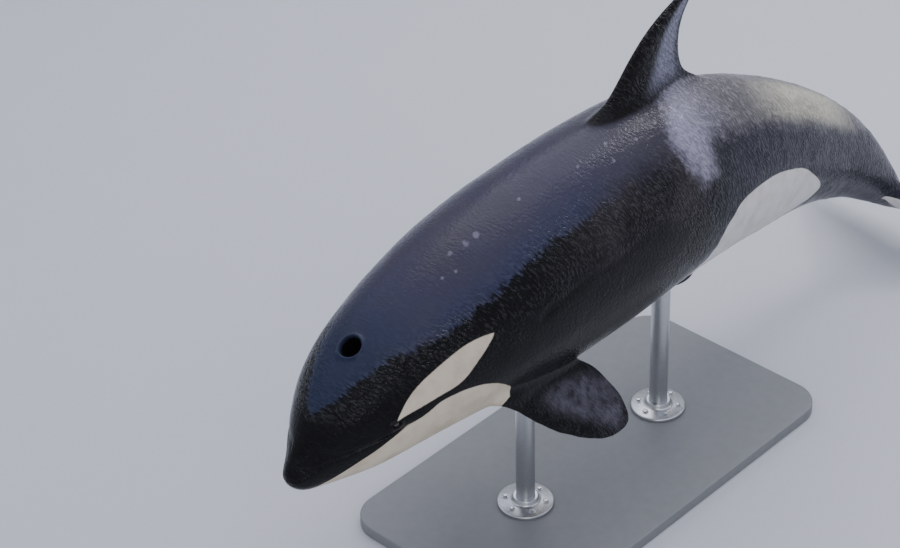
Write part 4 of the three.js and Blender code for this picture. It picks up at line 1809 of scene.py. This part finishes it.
    def fields(self, wires: Wiring) -> SkinFields:
        """Lay out what the tones are made from.

        Args:
            wires: The material's wiring.

        Returns:
            The sockets.
        """
        flow = wires.attribute("flow", "Vector")
        ragged = wires.noise(wires.vector("MULTIPLY", flow, self.ragged_pitch), *self.ragged_noise)
        ragged = wires.math("SUBTRACT", ragged, 0.5)
        white = wires.math("MULTIPLY_ADD", ragged, self.white_edge, wires.attribute("white"))
        return SkinFields(
            flow=flow,
            place=wires.node("ShaderNodeTexCoord").outputs["Object"],
            along=wires.node("ShaderNodeSeparateXYZ", Vector=flow).outputs["Y"],
            slate=wires.attribute("slate"),
            white_mask=wires.step(white, -self.white_edge, self.white_edge),
            ragged=ragged,
            clumps=wires.math("SUBTRACT", wires.noise(flow, *self.clump_noise), 0.5),
            broad=wires.noise(flow, *self.broad_noise),
            ridges=self.ridges(wires, flow),
        )

    def ridges(self, wires: Wiring, flow: Socket) -> Socket:
        """Height of the skin's short wet ridges, which run round the body.

        Args:
            wires: The material's wiring.
            flow: Places in the straightened body.

        Returns:
            The height, from 0 to about 1.5.
        """
        parts = wires.node("ShaderNodeSeparateXYZ", Vector=flow).outputs
        slanted = wires.math("MULTIPLY_ADD", parts["Z"], self.ridge_slant, parts["Y"])
        way = wires.node("ShaderNodeCombineXYZ", X=parts["X"], Y=slanted, Z=parts["Z"]).outputs[0]
        bend = wires.noise(flow, *self.bend_noise, output="Color")
        way = wires.vector("MULTIPLY_ADD", bend, self.ridge_bend, way)
        ridges = wires.noise(wires.vector("MULTIPLY", way, self.ridge_pitch), *self.ridge_noise)
        lumps = wires.noise(wires.vector("MULTIPLY", way, self.lump_pitch), *self.lump_noise)
        return wires.math("MULTIPLY_ADD", lumps, 0.5, wires.step(ridges, *self.ridge_span))

    def dark_tone(self, wires: Wiring, fields: SkinFields) -> Socket:
        """Colour of everything that isn't white.

        Args:
            wires: The material's wiring.
            fields: What the tones are made from.

        Returns:
            The colour.
        """
        painted_sheen_mask, saddle_mask = self.painted_sheen_mask(wires, fields), self.saddle_mask(wires, fields)
        # The back's colour is painted sky sheen over black skin
        base = wires.mix(painted_sheen_mask, self.flank_tone(wires, fields), self.back_sheen_tone(wires, fields))
        base = wires.mix(wires.attribute("fin"), base, self.fin_black)
        # Painted sheen on the rear of the dorsal fin
        base = wires.mix(wires.attribute("fin_sheen"), base, self.painted_fin_sheen)
        cover = wires.times(saddle_mask, self.saddle_cover)
        base = wires.mix(cover, base, self.saddle_tone(wires, fields))
        ripple = wires.attribute("ripple")
        # Painted shade in the troughs of the ridges and painted highlight on their crests
        trough_shade = wires.times(wires.step(fields.ridges, *self.trough_span), ripple, self.trough_shade_cover)
        base = wires.mix(trough_shade, base, self.black)
        crest = wires.times(wires.step(fields.ridges, *self.crest_span), ripple)
        lit = wires.math("MULTIPLY_ADD", saddle_mask, self.saddle_crest_highlight_cover, self.crest_highlight_cover)
        base = wires.mix(wires.times(crest, lit), base, self.crest_highlight)
        # Painted shade in the pits
        return wires.mix(wires.attribute("pit"), base, self.pit_shade)

    def painted_sheen_mask(self, wires: Wiring, fields: SkinFields) -> Socket:
        """Share of the painted sky sheen on the back, crisp in front and soft by the saddle.

        Args:
            wires: The material's wiring.
            fields: What the tones are made from.

        Returns:
            The share.
        """
        slate = wires.math("MULTIPLY_ADD", fields.ridges, self.ridge_shift, fields.slate)
        slate = wires.math("MULTIPLY_ADD", fields.clumps, self.clump_shift, slate)
        crisp, soft = wires.step(slate, *self.crisp_edge_span), wires.step(slate, *self.soft_edge_span)
        return wires.blend(wires.step(fields.along, *self.soft_start_span), crisp, soft)

    def flank_tone(self, wires: Wiring, fields: SkinFields) -> Socket:
        """Colour below the painted sheen: black, a painted plum reflection on the middle flank, painted
        bluish sheen on the tail and painted grey sheen on the flippers.

        Args:
            wires: The material's wiring.
            fields: What the tones are made from.

        Returns:
            The colour.
        """
        # Painted plum reflection band on the middle flank
        band = wires.times(
            wires.step(fields.along, *self.reflection_start_span),
            wires.step(fields.along, *self.reflection_end_span),
            wires.step(fields.slate, *self.reflection_edge_span),
            wires.step(fields.broad, *self.reflection_noise_span),
        )
        flank = wires.mix(band, self.black, self.plum_reflection)
        # Painted bluish sheen on the tail's flank
        flank = wires.mix(wires.step(fields.along, *self.tail_span), flank, self.tail_slate)
        # Painted grey sheen on the flippers' blades, mottled by noise
        mottled = wires.step(fields.clumps, *self.blade_noise_span)
        blade = wires.times(wires.attribute("limb_sheen"), mottled)
        return wires.mix(blade, flank, self.painted_limb_sheen)

    def back_sheen_tone(self, wires: Wiring, fields: SkinFields) -> Socket:
        """Painted sky sheen that colours the black back: blue on the melon and low, bluish grey high, greyer
        to the rear.

        Args:
            wires: The material's wiring.
            fields: What the tones are made from.

        Returns:
            The colour.
        """
        high = wires.times(
            wires.step(fields.slate, *self.high_edge_span), wires.step(fields.along, *self.high_start_span)
        )
        back = wires.mix(high, self.blue_slate, self.slate)
        back = wires.mix(wires.step(fields.broad, *self.grey_noise_span), back, self.grey_slate)
        back = wires.mix(wires.step(fields.along, *self.melon_span), back, self.melon_sheen)
        return wires.mix(wires.step(fields.along, *self.rear_span), back, self.rear_slate)

    def saddle_mask(self, wires: Wiring, fields: SkinFields) -> Socket:
        """Share of the saddle, with a frayed edge.

        Args:
            wires: The material's wiring.
            fields: What the tones are made from.

        Returns:
            The share.
        """
        broad = wires.math("SUBTRACT", fields.broad, 0.5)
        saddle = wires.math("MULTIPLY_ADD", broad, self.broad_shift, wires.attribute("saddle"))
        saddle = wires.math("MULTIPLY_ADD", fields.ragged, self.saddle_shift, saddle)
        saddle = wires.math("MULTIPLY_ADD", fields.clumps, self.saddle_shift, saddle)
        return wires.step(saddle, *self.saddle_edge_span)

    def saddle_tone(self, wires: Wiring, fields: SkinFields) -> Socket:
        """Colour of the saddle: a grey streak made lilac and brighter by painted sheen, then grey, then a
        painted pale highlight on the tail's back.

        Args:
            wires: The material's wiring.
            fields: What the tones are made from.

        Returns:
            The colour.
        """
        past_streak = wires.step(fields.along, *self.streak_end_span)
        streak = wires.mix(past_streak, self.saddle_streak_and_sheen, self.saddle_grey)
        # Painted highlight high on the tail's back
        high = wires.times(
            wires.step(fields.slate, *self.highlight_lower_span),
            wires.step(fields.slate, *self.highlight_upper_span),
            wires.step(fields.along, *self.highlight_start_span),
            wires.step(fields.along, *self.highlight_end_span),
        )
        return wires.mix(high, streak, self.saddle_highlight)

    def white_tone(self, wires: Wiring, fields: SkinFields) -> Socket:
        """Colour of the white markings: cream in front, ash white behind.

        Args:
            wires: The material's wiring.
            fields: What the tones are made from.

        Returns:
            The colour.
        """
        pale = wires.mix(
            wires.step(fields.along, *self.ash_span), self.cream, self.ash_white
        )
        shaded = wires.vector("MULTIPLY", pale, self.white_shade)
        dull = wires.noise(fields.flow, *self.dull_noise)
        return wires.mix(wires.step(dull, *self.dull_noise_span), pale, shaded)

    def roughness(self, wires: Wiring, fields: SkinFields) -> Socket:
        """Roughness: glossy to satin on the dark skin, more on the white, most in the pit.

        Args:
            wires: The material's wiring.
            fields: What the tones are made from.

        Returns:
            The roughness.
        """
        wet = wires.noise(fields.flow, *self.wet_noise)
        rough = wires.blend(wires.step(wet, *self.wet_noise_span), self.glossy, self.satin)
        rough = wires.blend(fields.white_mask, rough, self.white_rough)
        return wires.blend(wires.attribute("pit"), rough, self.pit_rough)

    def with_scuffs(self, wires: Wiring, form: BodyForm, fields: SkinFields, base: Socket) -> Socket:
        """Add the small pale scuffs along the back.

        Args:
            wires: The material's wiring.
            form: The body.
            fields: What the tones are made from.
            base: Colour under the scuffs.

        Returns:
            The colour with the scuffs.
        """
        mask: object = 0.0
        for station, angle, radius in self.scuffs:
            centre = form.skin(station, math.radians(angle))
            away = wires.vector("DISTANCE", fields.place, tuple(float(v) for v in centre))
            frayed = wires.math("MULTIPLY_ADD", fields.ragged, radius * self.scuff_fray, away)
            spot = wires.step(frayed, radius, radius * self.scuff_core)
            mask = wires.math("MAXIMUM", mask, spot)
        return wires.mix(wires.times(mask, self.scuff_cover), base, self.scuff)

    def rippled(self, wires: Wiring, fields: SkinFields) -> Socket:
        """Bend the light with the wet ridges, the pebbly skin and its fine grain.

        Args:
            wires: The material's wiring.
            fields: What the tones are made from.

        Returns:
            The normal.
        """
        flow, white_mask = fields.flow, fields.white_mask
        lively = wires.step(wires.noise(flow, *self.patch_noise), *self.patch_noise_span)
        patches = wires.blend(lively, *self.patch_strength)
        calm = wires.blend(white_mask, 1.0, self.white_ripple)
        strength = wires.times(wires.attribute("ripple"), calm, patches)
        normal = wires.bump(fields.ridges, strength, self.ridge_depth)
        pebbles = wires.noise(flow, *self.pebble_noise)
        firmness = wires.blend(white_mask, *self.pebble_strength)
        normal = wires.bump(pebbles, firmness, self.pebble_depth, normal)
        fine = wires.noise(fields.place, *self.grain_noise)
        return wires.bump(fine, self.grain_strength, self.grain_depth, normal)


@dataclass(frozen=True)
class EyeFinish:
    """Dark brown iris with a black pupil under a clear, glossy film."""

    iris: Triple = (0.035, 0.016, 0.008)
    pupil: Triple = (0.002, 0.002, 0.003)
    rim: Triple = (0.012, 0.011, 0.012)
    pupil_radius: float = 0.0062
    iris_radius: float = 0.0135
    pupil_edge: float = 0.0006
    iris_edge: float = 0.001

    def material(self, side: Side, middle: Vector) -> Material:
        """Make the finish.

        Args:
            side: The side that the eye is on.
            middle: Point of the eyeball's surface at the pupil's middle.

        Returns:
            The material.
        """
        material, wires, shader = new_material(f"eye_{side.label}")
        place = wires.node("ShaderNodeTexCoord").outputs["Object"]
        away = wires.vector("DISTANCE", place, tuple(middle))
        away = wires.math("MULTIPLY_ADD", wires.noise(place, 900.0, 2.0), 0.0008, away)
        tone = wires.mix(wires.noise(place, 420.0, 2.0), self.iris, self.rim)
        iris = wires.step(away, self.iris_radius - self.iris_edge, self.iris_radius + self.iris_edge)
        tone = wires.mix(iris, tone, self.rim)
        pupil = wires.step(away, self.pupil_radius - self.pupil_edge, self.pupil_radius + self.pupil_edge)
        tone = wires.mix(pupil, self.pupil, tone)
        wires.feed(shader.inputs["Base Color"], tone)
        shader.inputs["Roughness"].default_value = 0.06
        shader.inputs["Coat Weight"].default_value = 1.0
        shader.inputs["Coat Roughness"].default_value = 0.03
        return material


@dataclass(frozen=True)
class PlainFinish:
    """Paint, rubber, metal or floor, with a little unevenness."""

    name: str
    tone: Triple
    roughness: float
    metallic: float = 0.0
    scale: float = 300.0
    coarse: float = 0.3
    contrast: float = 0.06
    bump_height: float = 0.0002
    stretch: Triple = (1.0, 1.0, 1.0)

    def material(self) -> Material:
        """Make the finish.

        Returns:
            The material.
        """
        material, wires, shader = new_material(self.name)
        place = wires.node("ShaderNodeTexCoord").outputs["Object"]
        place = wires.vector("MULTIPLY", place, self.stretch)
        grain = wires.node("ShaderNodeGroup", {"node_tree": grain_group()}, Place=place)
        grain.inputs["Scale"].default_value = self.scale
        grain.inputs["Coarse Share"].default_value = self.coarse
        value = grain.outputs["Value"]
        darker = tuple(channel * (1.0 - self.contrast * 2.0) for channel in self.tone)
        lighter = tuple(min(1.0, channel * (1.0 + self.contrast)) for channel in self.tone)
        wires.feed(shader.inputs["Base Color"], wires.mix(wires.step(value, 0.3, 0.7), darker, lighter))
        spread = self.roughness * 0.15
        rough = wires.blend(value, self.roughness - spread, self.roughness + spread)
        wires.feed(shader.inputs["Roughness"], rough)
        shader.inputs["Metallic"].default_value = self.metallic
        wires.feed(shader.inputs["Normal"], wires.bump(value, 0.5, self.bump_height))
        return material


def place_piece(
    shape: Shape, name: str, material: Material
) -> Object:
    """Make a mesh into a piece that rides on the model.

    Args:
        shape: The mesh, which is freed.
        name: The piece's name.
        material: Its material.

    Returns:
        The piece's object.
    """
    bmesh.ops.remove_doubles(shape, verts=shape.verts, dist=1e-6)
    bmesh.ops.recalc_face_normals(shape, faces=shape.faces)
    mesh = make_mesh(name, shape)
    mesh.polygons.foreach_set("use_smooth", [True] * len(mesh.polygons))
    mesh.set_sharp_from_angle(angle=math.radians(35.0))
    mesh.materials.append(material)
    piece = add_object(name, mesh)
    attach(piece, "root")
    LOG.info("%s: %d faces", name, len(mesh.polygons))
    return piece


def make_eye(form: BodyForm, eye: Eye) -> None:
    """Make one eyeball in its lids.

    Args:
        form: The body.
        eye: Where the eye is and its size.
    """
    centre, out, _, _ = form.skin_frame(*eye.place)
    middle = centre - out * eye.sunk
    shape = bmesh.new()
    bmesh.ops.create_uvsphere(shape, u_segments=48, v_segments=24, radius=eye.radius)
    turn = out.to_track_quat("Z", "Y").to_matrix().to_4x4()
    bmesh.ops.transform(shape, matrix=Matrix.Translation(middle) @ turn, verts=shape.verts)
    material = EyeFinish().material(eye.side, middle + out * eye.radius)
    piece = place_piece(shape, f"eyeball_{eye.side.label}", material)
    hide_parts(f"eye_{eye.side.label}")


@dataclass
class Stand:
    """Flat base, two rods with bolted feet, and a cradle on each under the belly."""

    base: Triple = (1.15, 2.2, 0.06)
    corner: float = 0.16
    base_bevel: float = 0.008
    rod_radius: float = 0.045
    foot_radius: float = 0.135
    foot_height: float = 0.046
    cradle_radius: float = 0.15
    cradle_depth: float = 0.07
    gap: float = 0.0003
    rod_places: dict[str, float] = field(default_factory=lambda: {"front": -0.48, "rear": 0.5})
    bolts: int = 6
    bolt_ring: float = 0.098
    bolt_radius: float = 0.012
    washer_radius: float = 0.0165
    # Heights of the washer's underside, its top and the bolt's top over the flange's underside
    bolt_heights: Triple = (0.015, 0.0225, 0.0315)
    bolt_round: float = 0.001
    rod_chamfer: float = 0.002
    paint: PlainFinish = PlainFinish(
        "plinth_paint", (0.2, 0.205, 0.21), 0.5, scale=500.0, bump_height=0.0001
    )
    steel: PlainFinish = PlainFinish(
        "brushed_steel", (0.56, 0.57, 0.58), 0.3, 1.0, 90.0, 0.1, 0.08, 0.00008, (1.0, 1.0, 12.0)
    )
    rubber: PlainFinish = PlainFinish(
        "moulded_rubber", (0.03, 0.03, 0.032), 0.75, scale=700.0, bump_height=0.0003
    )

    def build(self, skin: Object) -> None:
        """Make the stand's pieces.

        Args:
            skin: The skin, which the cradles touch.
        """
        self.make_base()
        steel, rubber = self.steel.material(), self.rubber.material()
        belly = self.belly_finder(skin)
        for name, y in self.rod_places.items():
            floor = belly(0.0, y) - self.cradle_depth
            self.make_rod(name, y, floor, steel)
            self.make_foot(name, y, steel)
            self.make_cradle(name, y, floor, belly, rubber)

    def belly_finder(self, skin: Object) -> HeightRule:
        """Rule for the belly's height over a place on the floor.

        Args:
            skin: The skin's object.

        Returns:
            A function of X and Y.
        """
        shape = bmesh.new()
        shape.from_mesh(skin.data)
        tree = BVHTree.FromBMesh(shape)
        shape.free()

        def belly(x: float, y: float) -> float:
            """Height of the first skin over a place."""
            hit = tree.ray_cast(Vector((x, y, 0.0)), Vector((0.0, 0.0, 1.0)))[0]
            return hit.z if hit else 2.0

        return belly

    def make_base(self) -> None:
        """Flat plate with round corners."""
        shape = bmesh.new()
        bmesh.ops.create_cube(shape, size=1.0)
        thickness = self.base[2]
        bmesh.ops.scale(shape, vec=self.base, verts=shape.verts)
        bmesh.ops.translate(shape, vec=(0.0, 0.0, thickness / 2.0), verts=shape.verts)
        upright = [e for e in shape.edges if abs(e.verts[0].co.z - e.verts[1].co.z) > thickness / 2.0]
        self.round_off(shape, upright, self.corner, 14)
        level = [e for e in shape.edges if abs(e.verts[0].co.z - e.verts[1].co.z) < 1e-6]
        rims = [e for e in level if len({round(f.normal.z) for f in e.link_faces}) == 2]
        self.round_off(shape, rims, self.base_bevel, 4)
        piece = place_piece(shape, "stand_base_plate", self.paint.material())
        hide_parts("stand_base")

    def round_off(self, shape: Shape, edges: list[Edge], offset: float, segments: int) -> None:
        """Round some edges.

        Args:
            shape: The mesh.
            edges: The edges.
            offset: How far the round reaches.
            segments: Its steps.
        """
        bmesh.ops.bevel(
            shape, geom=edges, offset=offset, segments=segments, profile=0.5, affect="EDGES", material=-1
        )
        shape.normal_update()

    def turned(self, profile: Sequence[Place], y: float, steps: int = 96) -> Shape:
        """Spin an outline of radius and height pairs round an upright axis.

        Args:
            profile: Points of the outline.
            y: Place of the axis.
            steps: Steps of the whole turn.

        Returns:
            The mesh.
        """
        shape = bmesh.new()
        verts = [shape.verts.new((radius, 0.0, z)) for radius, z in profile]
        edges = [shape.edges.new(pair) for pair in zip(verts, verts[1:])]
        centre, axis = (0.0, 0.0, 0.0), (0.0, 0.0, 1.0)
        bmesh.ops.spin(
            shape, geom=verts + edges, cent=centre, axis=axis, angle=math.tau, steps=steps, use_merge=True
        )
        bmesh.ops.translate(shape, vec=(0.0, y, 0.0), verts=shape.verts)
        return shape

    def make_rod(self, name: str, y: float, top: float, steel: Material) -> None:
        """Round rod from the base to the cradle.

        Args:
            name: Which rod it is.
            y: Place of the rod's axis.
            top: Height of the cradle's underside.
            steel: Its material.
        """
        low, high, radius = self.base[2] + self.gap, top - self.gap, self.rod_radius
        chamfer = self.rod_chamfer
        profile = [(0.0, low), (radius - chamfer, low), (radius, low + chamfer), (radius, high - chamfer)]
        profile += [(radius - chamfer, high), (0.0, high)]
        piece = place_piece(self.turned(profile, y), f"rod_{name}", steel)
        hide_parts(f"stand_rod_{name}")

    def make_foot(self, name: str, y: float, steel: Material) -> None:
        """Round flange with a collar and a ring of bolts.

        Args:
            name: Which rod it is.
            y: Place of the rod's axis.
            steel: Its material.
        """
        low, bore, radius = self.base[2] + self.gap, self.rod_radius + self.gap, self.foot_radius
        collar = low + self.foot_height
        profile = [(bore, low), (radius - 0.001, low), (radius, low + 0.001), (radius, low + 0.012)]
        profile += [(radius - 0.001, low + 0.0148), (radius - 0.003, low + 0.0172)]
        profile += [(radius - 0.006, low + 0.0185), (bore + 0.03, low + 0.022)]
        profile += [(bore + 0.021, low + 0.025), (bore + 0.0165, low + 0.031)]
        profile += [(bore + 0.014, collar - 0.003), (bore + 0.0115, collar), (bore + 0.001, collar)]
        profile += [(bore, collar - 0.001), (bore, low)]
        shape = self.turned(profile, y)
        for i in range(self.bolts):
            turn = (i + 0.5) * math.tau / self.bolts
            spot = Vector((math.cos(turn) * self.bolt_ring, y + math.sin(turn) * self.bolt_ring, low))
            self.add_bolt(shape, spot)
        piece = place_piece(shape, f"foot_{name}", steel)
        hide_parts(f"stand_foot_{name}")

    def add_bolt(self, shape: Shape, spot: Vector) -> None:
        """Hexagonal head on a washer, standing in the flange.

        Args:
            shape: The flange's mesh.
            spot: Middle of the bolt at the flange's underside.
        """
        start, seat, top = self.bolt_heights
        washer, bolt = (32, self.washer_radius, start, seat), (6, self.bolt_radius, seat, top)
        for segments, radius, low, high in (washer, bolt):
            made = bmesh.ops.create_cone(
                shape, cap_ends=True, segments=segments, radius1=radius, radius2=radius, depth=high - low
            )["verts"]
            bmesh.ops.translate(shape, vec=spot + Vector((0.0, 0.0, (low + high) / 2.0)), verts=made)
            level = spot.z + high - 1e-5
            rim = {e for v in made for e in v.link_edges if all(w.co.z > level for w in e.verts)}
            self.round_off(shape, list(rim), self.bolt_round, 2)

    def make_cradle(
        self,
        name: str,
        y: float,
        floor: float,
        belly: HeightRule,
        rubber: Material,
    ) -> None:
        """Rubber cup whose top follows the belly.

        Args:
            name: Which rod it is on.
            y: Place of the rod's axis.
            floor: Height of the cradle's underside.
            belly: Rule for the belly's height.
            rubber: Its material.
        """
        radius, neck = self.cradle_radius, self.rod_radius + 0.022
        outline = [(0.0, 0.0), (neck - 0.004, 0.0), (neck, 0.003)]
        outline += [(radius - 0.03, 0.028), (radius - 0.008, 0.04), (radius, 0.05)]
        outside = [(r, floor + z) for r, z in outline]
        tops = np.linspace(1.0, 0.0, 13)
        rim = [(radius, 9.0), (radius - 0.0015, 9.0), (radius - 0.004, 9.0)]
        inside = [(float(share) * (radius - 0.008), 9.0) for share in tops]
        shape = self.turned(outside + rim + inside, y, 72)
        drops = {round(radius, 4): 0.007, round(radius - 0.0015, 4): 0.004, round(radius - 0.004, 4): 0.002}
        for vert in shape.verts:
            if vert.co.z > 5.0:
                away = round(math.hypot(vert.co.x, vert.co.y - y), 4)
                vert.co.z = belly(vert.co.x, vert.co.y) - 0.0006 - drops.get(away, 0.0)
        piece = place_piece(shape, f"cradle_{name}", rubber)
        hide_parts(f"stand_cradle_{name}")


@dataclass(frozen=True)
class Lamp:
    """Square soft lamp, with its side in metres and its power in watts."""

    name: str
    place: Triple
    aim: Triple
    size: float
    power: float

    def add(self) -> None:
        """Hang the lamp at its place and point it at its aim."""
        lamp = bpy.data.lights.new(self.name, "AREA")
        lamp.size = self.size
        lamp.energy = self.power
        holder = add_object(self.name, lamp)
        holder.location = self.place
        backward = Vector(self.place) - Vector(self.aim)
        holder.rotation_euler = backward.to_track_quat("Z", "Y").to_euler()


@dataclass
class Studio:
    """Pale floor, soft light and the camera at the photograph's place."""

    place: Triple = (6.431, -7.657, 8.128)
    turn_degrees: Triple = (54.979, 1.269, 42.912)
    lens: float = 106.53
    sensor: float = 36.0
    clip_end: float = 200.0
    floor_size: float = 60.0
    floor_finish: PlainFinish = PlainFinish("pale_floor", (0.54, 0.55, 0.57), 0.75, scale=40.0, contrast=0.01)
    low_sky: Triple = (0.45, 0.475, 0.51)
    high_sky: Triple = (1.0, 1.05, 1.3)
    sky_span: Place = (0.42, 0.56)
    lamps: tuple[Lamp, ...] = (
        Lamp("overhead_lamp", (-1.5, 3.5, 7.5), (0.0, 0.0, 1.4), 7.0, 270.0),
        Lamp("rear_lamp", (0.4, 7.0, 6.6), (0.0, 0.5, 1.4), 1.8, 110.0),
        Lamp("front_lamp", (6.5, -6.5, 5.5), (0.0, -0.5, 1.2), 3.5, 120.0),
    )

    def build(self) -> None:
        """Set up floor, light and camera."""
        self.add_floor()
        self.add_sky()
        for lamp in self.lamps:
            lamp.add()
        self.add_camera()

    def add_floor(self) -> None:
        """Wide plain floor."""
        shape = bmesh.new()
        bmesh.ops.create_grid(shape, x_segments=1, y_segments=1, size=self.floor_size)
        mesh = make_mesh("floor", shape)
        mesh.materials.append(self.floor_finish.material())
        add_object("floor", mesh)

    def add_sky(self) -> None:
        """Soft dome, brighter overhead."""
        world = bpy.data.worlds.new("studio")
        world.use_nodes = True
        wires = Wiring(world.node_tree)
        shader = world.node_tree.nodes["Background"]
        way = wires.node("ShaderNodeTexCoord").outputs["Generated"]
        height = wires.node("ShaderNodeSeparateXYZ", Vector=way).outputs["Z"]
        share = wires.step(height, *self.sky_span)
        wires.feed(shader.inputs["Color"], wires.mix(share, self.low_sky, self.high_sky))
        shader.inputs["Strength"].default_value = 1.0
        bpy.context.scene.world = world

    def add_camera(self) -> None:
        """Camera with the photograph's place, turn and lens."""
        data = bpy.data.cameras.new("camera")
        data.sensor_width = self.sensor
        data.lens = self.lens
        data.clip_end = self.clip_end
        camera = add_object("camera", data)
        camera.location = self.place
        camera.rotation_euler = [math.radians(angle) for angle in self.turn_degrees]
        bpy.context.scene.camera = camera


def main() -> None:
    """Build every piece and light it."""
    logging.basicConfig(level=logging.INFO)
    form = BodyForm()
    skin = Skin(form, MouthLine(), make_growths()).build()
    skin.data.materials.append(OrcaFinish().material(form))
    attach(skin, "root")
    flesh = ["head", "lower_jaw", "chest", "midbody", "loin", "tail_stock", "dorsal_fin"]
    flesh += [f"{limb}_{side.label}" for limb in ("flipper", "fluke") for side in Side]
    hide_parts(*flesh)
    LOG.info("skin: %d faces", len(skin.data.polygons))
    for side in Side:
        make_eye(form, Eye(side))
    Stand().build(skin)
    Studio().build()


if __name__ == "__main__":
    main()
